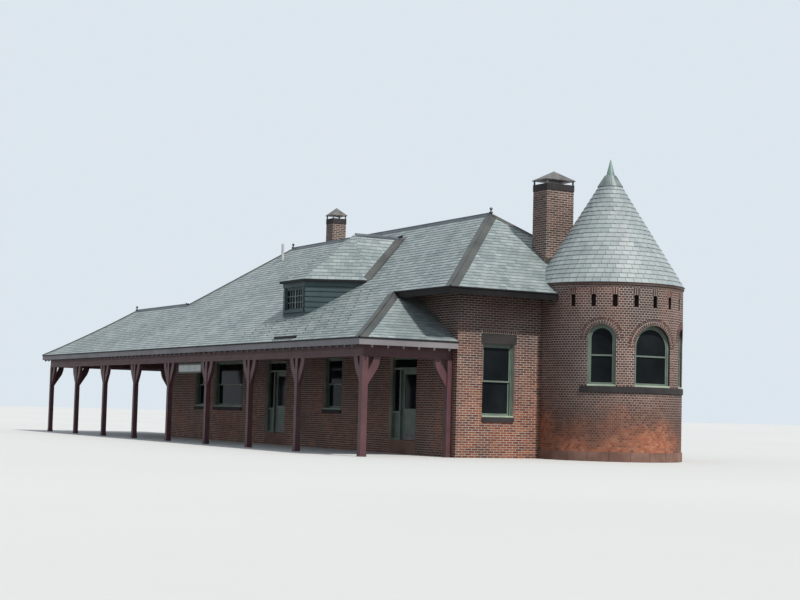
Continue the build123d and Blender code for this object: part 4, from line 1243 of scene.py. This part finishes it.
def eased_bars(bars, radius=0.004):
    """One mesh of bars, each given as its low corner, its high corner and, if turned, its frame."""
    bm = bmesh.new()
    for item in bars:
        bar(bm, *item)
    ease(bm, radius)
    return bm


def along_line(start, stop, height=0.0):
    """A frame that runs along a line in plan, and the length of that line."""
    run = Vector(stop) - Vector(start)
    turn = Matrix.Rotation(atan2(run.y, run.x), 4, "Z")
    return Matrix.Translation((*start, height)) @ turn, run.length


print("bar helpers ready")

# %% [markdown]
# ## Bricks on the chimneys
# Each stack is four flat walls, bricked like the others. A dark band of soot and cement closes the top
# courses. It is a block with rounded edges, a little wider than the stack.

# %% Bricks on the chimneys
stack_band, band_proud, band_edge = 0.2, 0.015, 0.012


def stack_box(node):
    """The sides and the top of a stack, measured from the corner."""
    low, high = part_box(node)
    return low[0] - corner.x, high[0] - corner.x, low[1] - corner.y, high[1] - corner.y, high[2]


fields = []
crowns = bmesh.new()
for node, foot in (("tower_chimney", 5.0), ("rear_chimney", 6.2)):
    x0, x1, y0, y1, top = stack_box(node)
    for start, along, width in (
        ((x0, y0), (1, 0), x1 - x0),
        ((x1, y0), (0, 1), y1 - y0),
        ((x1, y1), (-1, 0), x1 - x0),
        ((x0, y1), (0, -1), y1 - y0),
    ):
        fields.append(bricked(Wall(start, along), width, top - stack_band, low=foot))
    low = (x0 - band_proud, y0 - band_proud, top - stack_band)
    bar(crowns, low, (x1 + band_proud, y1 + band_proud, top))
ease(crowns, band_edge, 2)
build(merge(fields), "chimney_bricks", "stack_brick")
build(crowns, "chimney_crowns", "brown_stone")

# %% [markdown]
# ## Clapboards on the dormer
# The dormer is clad in horizontal boards that lap like slates, so the same helper lays them: one board
# is one long tile. Each wall is trimmed where the big slope passes under it.

# %% Helper for clapboards
board_rise, board_lap, board_sink = 0.165, 0.02, 0.05


def clad(start, stop, top, holes=()):
    """Lapped boards on a plan line from start to stop, up to a height, down to the slates."""
    run = Vector(stop) - Vector(start)
    wall = Wall(start, run.normalized())
    foot = [track.height(point) - board_sink for point in (start, stop)]
    low = min(foot)
    width = run.length * 2
    bm = lay_field(width, top - low, width, board_rise, 0.0, 0.0, at=(-run.length / 2, 0))
    raise_laps(bm, board_rise, board_lap)
    bmesh.ops.translate(bm, vec=(0, low, 0), verts=bm.verts)
    slant = (foot[1] - foot[0]) / run.length
    x0 = max(0, (top - foot[0]) / slant) if slant < -0.01 else 0
    x1 = min(run.length, (top - foot[0]) / slant) if slant > 0.01 else run.length
    outline = [(x0, foot[0] + slant * x0), (x1, foot[0] + slant * x1), (x1, top), (x0, top)]
    sides = [(Vector(point) - Vector(outline[i - 1])).length for i, point in enumerate(outline)]
    trim(bm, [point for point, side in zip(outline, sides) if side > 0.001])
    for hole in holes:
        punch(bm, *hole)
    bend(bm, wall.place)
    return bm


print("boards lap every", board_rise)

# %% [markdown]
# The walls stand back below the eave by the same distance on every side of the half octagon. The front
# has a hole for its window, and a plain board, the frieze, runs below the eave.

# %% Clapboards on the dormer
def inset_corner(front):
    """Corner of the dormer's walls below its overhanging eave."""
    run = Vector(side_right) - Vector(front_right)
    if front:
        shift = dormer_overhang * (run.length - run.x) / run.y
        return dormer_front_half - shift, dormer_front_y + dormer_overhang
    shift = dormer_overhang * (run.length - run.y) / run.x
    return dormer_side_half - dormer_overhang, dormer_side_y + shift


front_half, wall_front_y = inset_corner(True)
side_half, wall_side_y = inset_corner(False)
window_half = 0.63
dormer_sill, dormer_head = dormer_eave - 0.94, dormer_eave - 0.23
frieze = 0.2
wall_left, wall_right = (dormer_x - front_half, wall_front_y), (dormer_x + front_half, wall_front_y)
dormer_walls = [
    (wall_left, wall_right),
    (wall_right, (dormer_x + side_half, wall_side_y)),
    ((dormer_x - side_half, wall_side_y), wall_left),
]
window = (front_half - window_half, front_half + window_half, dormer_sill, dormer_head)
walls = [clad(*line, dormer_eave - frieze, holes) for line, holes in zip(dormer_walls, ([window], (), ()))]
build(merge(walls), "dormer_clapboards", lapped_paint)

# %% [markdown]
# ### Rafters
# Below the porch the rafters run from the eave board up to the wall, 43 cm apart. They follow the curve
# of the roof, so they are cut into short lengths while flat, and then bent like the slates. Below the
# high eaves only their ends show.

# %% Helper for rafters
rafter_step, high_rafter_step = 0.43, 0.63
rafter_width, rafter_depth = 0.05, 0.07
hip_gap, shortest, plate_gap = 0.06, 0.1, 0.002


def rafters(slope, first, last, low_run, high_run, hips=(), step=rafter_step):
    """Rafters below a slope, between two places along its eave. They stop short of the hips.

    A hip is (place, sign): the slope narrows by one along its eave for each one of run.
    """
    bm = bmesh.new()
    count = int((last - first) / step)
    for index in range(count + 1):
        x = first + (last - first) * index / max(1, count)
        top = min([high_run] + [sign * (x - place) - hip_gap for place, sign in hips])
        if top > low_run + shortest:
            low = (x - rafter_width / 2, low_run, -plate_thickness - rafter_depth)
            bar(bm, low, (x + rafter_width / 2, top, -plate_thickness - plate_gap))
    long_edges = [e for e in bm.edges if abs(e.verts[0].co.y - e.verts[1].co.y) > shortest]
    bmesh.ops.subdivide_edges(bm, edges=long_edges, cuts=3, use_grid_fill=True)
    bend(bm, slope.place)
    return bm


print("rafters", rafter_width, "wide, every", rafter_step)

# %% [markdown]
# Each row says where its slope's rafters start and end, how far up they run, and which hips bound them.

# %% Rafters
low_start, high_start = -0.012, high_eave_run + 0.02
high_stop = high_eave_run + eave_overhang - 0.02
inner = 0.4
low_sets = (
    (track, joint_x, porch_end_x - inner, porch_reach - 0.02, [(porch_end_x, -1)]),
    (track, shelter_eave_x + inner, joint_x - inner, 1.2, [(shelter_eave_x, 1)]),
    (shelter_back, body_length + 0.2, -shelter_eave_x - inner, 1.2, [(-shelter_eave_x, -1)]),
    (shelter_end, inner - shelter_back_y, porch_reach - inner, 1.0,
     [(-shelter_back_y, 1), (porch_reach, -1)]),
    (porch_end, inner - porch_reach, -0.3, 0.8, [(-porch_reach, 1)]),
)
high_sets = (
    (end, near_eave_y + inner, tower_meets_end - 0.2, [(near_eave_y - high_eave_run, 1)]),
    (far, 1.9, body_length, []),
    (left, -back_eave_y + 0.6, -annex_depth - 0.5, []),
)
low_rafters = [rafters(slope, a, b, low_start, top, hips) for slope, a, b, top, hips in low_sets]
high_rafters = [
    rafters(slope, a, b, high_start, high_stop, hips, high_rafter_step) for slope, a, b, hips in high_sets
]
# The porch rafters' dark grey is partly painted shade under the porch roof.
build(merge(low_rafters), "porch_rafters", "rafter_paint_and_shade")
# The high rafters share that near black, painted shade under the high eaves.
build(merge(high_rafters), "high_rafters", "eave_shade_paint")

# %% [markdown]
# ### Drip edges
# A thin dark metal edge carries the lowest slates a little past the boards, so rain drips clear of them.
# Its near black is painted shade: from far away it is the shadow line that separates slates and boards.

# %% Drip edges
drip_out, drip_down, drip_up, drip_in, drip_past = 0.022, 0.03, 0.006, 0.03, 0.01
low_edge, high_edge = low_eave_height, roof_height(high_eave_run)
drips = []
for start, stop, height in (
    (shelter_front, porch_corner, low_edge),
    (porch_corner, (porch_end_x, 0), low_edge),
    ((-body_length, shelter_back_y), shelter_back_corner, low_edge),
    (shelter_back_corner, shelter_front, low_edge),
    (porch_top, near_corner, high_edge),
    (near_corner, (eave_overhang, tower_meets_end - 0.02), high_edge),
    ((-tower_meets_far, back_eave_y), left_corner, high_edge),
    (left_corner, (left_eave_x, valley_y), high_edge),
):
    place, length = along_line(start, stop, height)
    drips.append(((-drip_past, -drip_out, -drip_down), (length + drip_past, drip_in, drip_up), place))
build(eased_bars(drips, 0.003), "drip_edges", "shade_line_paint")

# %% [markdown]
# ### Window trim
# Each sash window has a planed stop round its frame and a pale timber sill that throws rain onto the
# stone. A matrix from the wall's own directions lets one set of numbers serve all four walls.

# %% Window trim
stop_width, stop_depth = 0.03, 0.03
sill_rise, sill_proud, sill_gap = 0.045, 0.012, 0.002
stops, sills = [], []


def window_trim(wall, middle, width, sill, head):
    """Stops and sill of one window on a flat wall."""
    place = Matrix.Translation(wall.start) @ Matrix((
        (wall.along.x, 0, wall.out.x, 0), (wall.along.y, 0, wall.out.y, 0), (0, 1, 0, 0), (0, 0, 0, 1)
    ))
    half, inside = width / 2, -window_reveal
    front = inside + stop_depth
    for x in (middle - half, middle + half - stop_width):
        stops.append(((x, sill, inside), (x + stop_width, head, front), place))
    low = (middle - half + stop_width, head - stop_width, inside)
    stops.append((low, (middle + half - stop_width, head, front), place))
    low = (middle - half + sill_gap, sill, inside)
    sills.append((low, (middle + half - sill_gap, sill + sill_rise, sill_proud), place))


window_trim(end_face, end_window, window_width, window_sill, window_head)
for x, width in track_windows:
    window_trim(track_face, x + body_length, width, track_sill, track_head)
for x, width in far_windows:
    window_trim(far_face, x, width, window_sill, window_head)
window_trim(left_face, left_window, window_width, window_sill, window_head)
for angle, width in arch_windows:
    edge = sqrt(tower_radius**2 - (width / 2) ** 2)
    spin = Matrix.Translation((tower_x, tower_y, 0)) @ Matrix.Rotation(radians(angle), 4, "Z")
    low = (edge - 0.06, -width / 2 + sill_gap, arch_sill)
    sills.append((low, (edge + 0.02, width / 2 - sill_gap, arch_sill + 0.05), spin))
build(eased_bars(stops), "window_stops", "green_paint")
build(eased_bars(sills, 0.008), "window_timber_sills", "pale_green_paint")

# %% [markdown]
# ### Dormer window and trim
# A casing stands on both sides of the window, with a sill below it. The frieze covers the top of the
# clapboards.

# %% Dormer trim
casing, casing_lap, trim_half = 0.09, 0.02, 0.03
outer = window_half + casing - casing_lap
trims = []
for side in (-1, 1):
    x = dormer_x + side * (window_half + casing / 2 - casing_lap)
    low = (x - casing / 2, wall_front_y - trim_half, dormer_sill - casing)
    trims.append((low, (x + casing / 2, wall_front_y + trim_half, dormer_head + 0.03)))
low = (dormer_x - outer, wall_front_y - 0.05, dormer_sill - 0.07)
trims.append((low, (dormer_x + outer, wall_front_y + trim_half, dormer_sill + 0.01)))
for line in dormer_walls:
    place, length = along_line(*line)
    trims.append(((-0.01, -0.03, dormer_eave - frieze), (length + 0.01, 0.0, dormer_eave - 0.002), place))
build(eased_bars(trims), "dormer_trim", "dormer_paint")

# %% [markdown]
# The dormer's window has small panes, six across and three high, made by thin bars with a thick post in
# the middle. Single bars are enough: the glass behind them is part of the solid model.

# %% Dormer window bars
columns, rows = 6, 3
pane_half, pane_low, pane_high = window_half - 0.06, dormer_sill + 0.06, dormer_head - 0.06
window_y = wall_front_y + 0.03
thin_half, post_half, row_half = 0.011, 0.03, 0.01
muntins = []
for index in range(1, columns):
    x = dormer_x - pane_half + 2 * pane_half * index / columns
    thick = post_half if index == columns // 2 else thin_half
    muntins.append(((x - thick, window_y + 0.012, pane_low), (x + thick, window_y + 0.03, pane_high)))
for index in range(1, rows):
    z = pane_low + (pane_high - pane_low) * index / rows
    low = (dormer_x - pane_half, window_y + 0.014, z - row_half)
    muntins.append((low, (dormer_x + pane_half, window_y + 0.028, z + row_half)))
build(eased_bars(muntins, 0.002), "dormer_window_bars", "muntin_paint")

# %% [markdown]
# A thin edge runs round the dormer's eave, below its lowest slates, painted near black as the shade of the
# overhang.

# %% Dormer eave edge
edges = []
side_eaves = [(side_right, (side_right[0], valley_foot_y)), ((side_left[0], valley_foot_y), side_left)]
for line in front_eaves + side_eaves:
    place, length = along_line(*line)
    edges.append(((-0.006, -0.012, dormer_eave - 0.06), (length + 0.006, 0.012, dormer_eave + 0.01), place))
build(eased_bars(edges, 0.003), "dormer_eave_edge", "shade_line_paint")

# %% [markdown]
# ### Doors
# A door leaf is stiles and rails around glass and a sunk panel. A dark pane covers the leaf's own one, a
# bead runs round it on both faces, and the panel below gets upright boards. Each face has a long pull,
# and the front one a kick plate. The numbers come first, measured from the foot and the front of a leaf.

# %% Sizes of a door leaf
leaf_low, leaf_high = floor_level + 0.01, floor_level + 2.09
leaf_width, leaf_thick, leaf_back = 1.0, 0.045, 0.2
leaf_front = leaf_back - leaf_thick
frame_width, hinge_gap, stile = 0.06, 0.007, 0.12
glass_low, glass_high = leaf_low + 0.91, leaf_high - 0.12
panel_low, panel_top = leaf_low + 0.22, leaf_low + 0.79
bead, bead_depth = 0.018, 0.012
board_count, board_gap, board_in, board_depth = 7, 0.003, 0.006, 0.010
pull_half, pull_out, pull_low, pull_high = 0.0125, 0.055, leaf_low + 0.898, leaf_low + 1.222
kick_side, kick_low, kick_top, kick_proud = 0.03, leaf_low + 0.01, leaf_low + 0.2, 0.002
print("leaf", leaf_width, "by", round(leaf_high - leaf_low, 2), "pane", round(glass_high - glass_low, 2))

# %% [markdown]
# Both leaves are dressed alike, at rest and shut. Every piece rides on its leaf, so it turns with the
# door. A child object of the leaf would do the same, but the leaf is a solid node that stays untouched.

# %% Doors
for name, (_, x1) in zip(("near_door", "far_door"), doorways):
    body = name + "_leaf"
    hinge_x = x1 - frame_width - hinge_gap - leaf_width
    left_x, right_x = hinge_x + stile, hinge_x + leaf_width - stile
    low = (left_x, leaf_front + bead_depth, glass_low)
    pane = eased_bars([(low, (right_x, leaf_back - bead_depth, glass_high))], 0.001)
    build(pane, name + "_pane", "door_glass", body)

    beads = []
    for y in (leaf_front, leaf_back - bead_depth):
        for x in (left_x, right_x - bead):
            beads.append(((x, y, glass_low), (x + bead, y + bead_depth, glass_high)))
        for z in (glass_low, glass_high - bead):
            beads.append(((left_x, y, z), (right_x, y + bead_depth, z + bead)))
    step = (right_x - left_x) / board_count
    for index in range(board_count):
        x = left_x + step * index
        for y in (leaf_front + board_in, leaf_back - board_in - board_depth):
            low = (x + board_gap, y, panel_low)
            beads.append((low, (x + step - board_gap, y + board_depth, panel_top)))
    build(eased_bars(beads, 0.003), name + "_beads", "green_paint", body)

    x = hinge_x + leaf_width - stile / 2
    pulls = []
    for y in (leaf_front - pull_out, leaf_back + pull_out):
        low = (x - pull_half, y - pull_half, pull_low)
        pulls.append((low, (x + pull_half, y + pull_half, pull_high)))
    low = (hinge_x + kick_side, leaf_front - kick_proud, kick_low)
    pulls.append((low, (hinge_x + leaf_width - kick_side, leaf_front, kick_top)))
    build(eased_bars(pulls, 0.001), name + "_pulls", "old_tin", body)

# %% [markdown]
# ### Snow guards and rain diverter
# Snow guards are small metal tabs that hold the snow on the slope above the porch, staggered from row to
# row. A near black strip of metal, painted shade, lies across the slates near the porch eave, with a paler
# lip below it, and turns the rain aside. All are bars on the flat slope, bent onto the roof as the slates
# are.

# %% Snow guards and rain diverter
guard_first, guard_rise, guard_rows = 0.377, 0.2227, 11
guard_start, guard_step, guards_in_row = -2.3, 0.63, 13
guard_half, guard_length, guard_height = 0.02, 0.03, 0.04
guards = bmesh.new()
for row in range(guard_rows):
    run = guard_first + guard_rise * row
    for index in range(guards_in_row):
        x = guard_start - guard_step * index - (guard_step / 2 if row % 2 else 0)
        if inside_dormer(x, run - porch_reach) or x > -1.3 - run or x < -9.2 + 0.25 * row:
            continue
        bar(guards, (x - guard_half, run, 0.0), (x + guard_half, run + guard_length, guard_height))
ease(guards, 0.006)
bend(guards, track.place)
build(guards, "snow_guards", "dark_board")

strip_start, strip_stop, strip_run = -5.66, -4.18, 0.125
for name, material, low, high in (
    ("rain_diverter", "shade_line_paint", (strip_start, strip_run, 0.0), (strip_stop, strip_run + 0.05, 0.075)),
    ("rain_diverter_lip", "hip_metal",
     (strip_start - 0.02, strip_run - 0.06, 0.0), (strip_stop - 0.1, strip_run - 0.012, 0.024)),
):
    strip = eased_bars([(low, high)])
    bend(strip, track.place)
    build(strip, name, material)

# %% [markdown]
# ### Finials
# Small metal knobs mark the ends of the ridges. A knob is turned, so its outline is drawn once and spun
# about an upright axis.

# %% Finials
def turned(profile, x, y, z, steps=16):
    """A turned shape: the profile's points (radius, height) are spun about an upright axis."""
    bm = bmesh.new()
    verts = [bm.verts.new((radius, 0, height)) for radius, height in profile]
    edges = [bm.edges.new(pair) for pair in zip(verts, verts[1:])]
    bmesh.ops.spin(
        bm, geom=verts + edges, cent=(0, 0, 0), axis=(0, 0, 1), angle=2 * pi, steps=steps, use_merge=True
    )
    bmesh.ops.remove_doubles(bm, verts=bm.verts, dist=1e-5)
    bmesh.ops.recalc_face_normals(bm, faces=bm.faces)
    bmesh.ops.translate(bm, vec=(x, y, z), verts=bm.verts)
    return bm


knob_radii = (0, 0.06, 0.06, 0.025, 0.02, 0.045, 0.05, 0.03, 0)
knob_heights = (0.0, 0.0, 0.04, 0.06, 0.09, 0.115, 0.145, 0.175, 0.185)
knob = list(zip(knob_radii, knob_heights))
finials = [turned(knob, x, ridge_y, roof_height(half_span) + ridge_lift) for x in (ridge_near_x, ridge_far_x)]
finials.append(turned(knob, *shelter_top, roof_height(shelter_half) + ridge_lift))
build(merge(finials), "finials", "ridge_metal", smooth=True)

# %% [markdown]
# ### Flashings
# Lead closes the joint where a stack comes through the slates. Here it is small plates that step up
# along two sides of each stack with the slope.

# %% Flashings
plate_step, plate_below, plate_above = 0.16, 0.05, 0.17
plate_half, plate_off = 0.005, 0.008
flashings = bmesh.new()
for node in ("tower_chimney", "rear_chimney"):
    x0, x1, y0, y1, _ = stack_box(node)
    for x in (x0 - plate_off, x1 + plate_off):
        y = y0
        while y < y1 - 0.01:
            ahead_y = min(y + plate_step, y1)
            z = min(slope.height((x, y)) for slope in (track, far, end))
            bar(flashings, (x - plate_half, y, z - plate_below), (x + plate_half, ahead_y, z + plate_above))
            y = ahead_y
ease(flashings, 0.002)
build(flashings, "stack_flashings", "hip_metal")

# %% [markdown]
# ### Tower foot and cap
# The stone foot of the tower is a ring of dressed blocks, laid like large bricks and rolled up. The
# skirt of the cap is older and browner than the green spire above it, with folded seams.

# %% Tower foot and cap skirt
block, block_joint, block_proud = 0.6, 0.012, 0.032
foot = lay_field(tower_run + block, foot_high, block, foot_high, block_joint)
trim(foot, rectangle(0, tower_run, 0, foot_high))
bmesh.ops.subdivide_edges(foot, edges=foot.edges, cuts=2, use_grid_fill=True)
raise_blocks(foot, block_proud)
bmesh.ops.remove_doubles(foot, verts=foot.verts, dist=1e-4)
bend(foot, roll_up)
build(merge([foot]), "tower_foot_blocks", "foot_stone")

hem_radius, hem_z, neck_radius, neck_z = 0.378, 8.05, 0.16, 8.392
skirt_profile = [(0.372, 8.035), (hem_radius, hem_z), (neck_radius, neck_z), (0.14, 8.4)]
skirt = turned(skirt_profile, tower_x, tower_y, 0, 36)
seam_count, lean = 12, atan2(hem_radius - neck_radius, neck_z - hem_z)
tilt = Matrix.Translation((hem_radius, 0, hem_z)) @ Matrix.Rotation(-lean, 4, "Y")
seams = []
for index in range(seam_count):
    turn = Matrix.Rotation(2 * pi * index / seam_count, 4, "Z")
    place = Matrix.Translation((tower_x, tower_y, 0)) @ turn @ tilt
    seams.append(((-0.004, -0.005, 0.0), (0.01, 0.005, 0.40), place))
build(merge([skirt, eased_bars(seams, 0.002)]), "cap_skirt", "skirt_metal")

# %% [markdown]
# ### Blank board
# The board below the porch beam is left blank: a pale panel in a darker frame.

# %% Blank board
board_low, board_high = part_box("name_board")
board_margin, board_height, panel_half = 0.05, 0.32, 0.029
row_y = -porch_reach + 0.35
low = (board_low[0] - corner.x + board_margin, row_y - panel_half, board_low[2] + board_margin)
high_z = board_low[2] + board_height - board_margin
panel = eased_bars([(low, (board_high[0] - corner.x - board_margin, row_y + panel_half, high_z))], 0.003)
build(panel, "board_panel", "white_enamel")

# %% [markdown]
# ### Post shoes and beam moulding
# The posts stand on small shoes, which are painted like them, and a moulding runs along the beam.

# %% Post shoes and beam moulding
shoe_high, shoe_proud = 0.11, 0.012
end_post_x, first_post_x, bay = -0.31, -4.35, 3.425
post_x = [end_post_x, first_post_x] + [first_post_x - bay * (i + 1) for i in range(7)]
posts = [(x, row_y, half) for x, half in zip(post_x, [0.09] + [0.08] * 8)]
posts += [(x, shelter_back_y - 0.35, 0.08) for x in post_x[-2:]]
shoes = []
for x, y, half in posts:
    reach = half + shoe_proud
    shoes.append(((x - reach, y - reach, 0), (x + reach, y + reach, shoe_high)))
shoes.append(((end_post_x - 0.102, -0.192, 0), (end_post_x + 0.102, -0.004, shoe_high)))
build(eased_bars(shoes, 0.006), "post_shoes", "maroon_paint")

beam_low, beam_half = 2.74, 0.07
beam_start, beam_stop = post_x[-1] - beam_half, post_x[0] + beam_half
mouldings = [
    ((beam_start, row_y - 0.09, beam_low + 0.03), (beam_stop, row_y - beam_half, beam_low + 0.07)),
    ((beam_start, row_y - 0.084, beam_low + 0.19), (beam_stop, row_y - beam_half, beam_low + 0.215)),
    ((beam_stop, row_y, beam_low + 0.03), (beam_stop + 0.02, -0.01, beam_low + 0.07)),
]
build(eased_bars(mouldings), "beam_mouldings", "maroon_paint")

# %% [markdown]
# ## Floor and light
# A pale floor carries the shadow. One soft sun stands high on the tower's side, as in the picture, and
# an even sky fills the shade. The level is plain: a colour renders about as it is mixed. The floor and
# the sky look pale when they are seen, but light that bounces from them is weaker, which keeps the
# porch dim.

# %% Floor
bpy.ops.mesh.primitive_plane_add(size=600)
studio_floor = bpy.context.object
studio_floor.name = "studio_floor"


def seen_directly(tree):
    """1 for what the camera sees, also in a mirror or through glass, and 0 for light that bounces."""
    path = tree.nodes.new("ShaderNodeLightPath").outputs
    mirrored = plus(tree, path["Is Camera Ray"], path["Is Glossy Ray"], use_clamp=True)
    return plus(tree, mirrored, path["Is Transmission Ray"], use_clamp=True)


pale, paler, bounce = (0.64, 0.64, 0.63), (0.67, 0.67, 0.66), (0.12, 0.116, 0.112)
material, tree, colour, shader, _ = finish(
    "floor_paint", pale, paler, 0.05, 2.0, relief=0.0, roughness=0.9
)
recolour(tree, shader, mix_colours(tree, seen_directly(tree), bounce, colour))
studio_floor.data.materials.append(material)
print("floor", pale)

# %% [markdown]
# The sky lights from all sides, a little more from above. What the camera sees behind the building is a
# separate plain backdrop, so its brightness doesn't change the light on the walls.

# %% Sky and sun
world = bpy.data.worlds.new("sky")
bpy.context.scene.world = world
world.use_nodes = True
sky = world.node_tree
background = sky.nodes["Background"]
background.inputs["Color"].default_value = (0.80, 0.90, 1.0, 1)
direction = sky.nodes.new("ShaderNodeTexCoord").outputs["Generated"]
light_level = stretch(sky, height_of(sky, direction), 0.0, 0.8, 0.3, 0.62)
sky.links.new(light_level, background.inputs["Strength"])
backdrop = add_node(sky, "ShaderNodeBackground", color=(0.80, 0.88, 0.95, 1), strength=0.9)
choice = sky.nodes.new("ShaderNodeMixShader")
for number, socket in enumerate((seen_directly(sky), background.outputs[0], backdrop.outputs[0])):
    sky.links.new(socket, choice.inputs[number])
sky.links.new(choice.outputs[0], sky.nodes["World Output"].inputs["Surface"])

azimuth, elevation = radians(11), radians(52)
toward_sun = Vector((cos(elevation) * cos(azimuth), cos(elevation) * sin(azimuth), sin(elevation)))
sun = bpy.data.objects.new("sun", bpy.data.lights.new("sun", "SUN"))
sun.data.energy = 3.1
sun.data.angle = radians(3)
sun.data.color = (1.0, 0.96, 0.9)
sun.rotation_euler = toward_sun.to_track_quat("Z", "Y").to_euler()
bpy.context.scene.collection.objects.link(sun)
print("sun from", [round(v, 2) for v in toward_sun])

# %% [markdown]
# ## Camera
# The camera looks at the building from low down and far off the tower's corner, 29.7 degrees off the
# long side. Its place, turn and lens come from a fit of the eaves, ridges and posts, so that the render
# can be laid over the picture.

# %% Camera
stand = Vector((36.966, -23.023, 1.276))
yaw, pitch, roll = radians(29.739), radians(4.073), radians(1.495)
focal_pixels, picture_width, sensor = 1551.95, 800, 36
ahead = Vector((-cos(yaw) * cos(pitch), sin(yaw) * cos(pitch), sin(pitch)))
level_right = Vector((sin(yaw), cos(yaw), 0))
lift = level_right.cross(ahead)
right = cos(roll) * level_right + sin(roll) * lift
up = cos(roll) * lift - sin(roll) * level_right
camera = bpy.data.objects.new("camera", bpy.data.cameras.new("camera"))
camera.data.lens = focal_pixels * sensor / picture_width
camera.data.clip_end = 500
camera.matrix_world = Matrix.Translation(stand + corner) @ Matrix((right, up, -ahead)).transposed().to_4x4()
bpy.context.scene.collection.objects.link(camera)
bpy.context.scene.camera = camera
bpy.context.scene.view_settings.view_transform = "Standard"
print("camera at", [round(v, 2) for v in camera.matrix_world.translation])
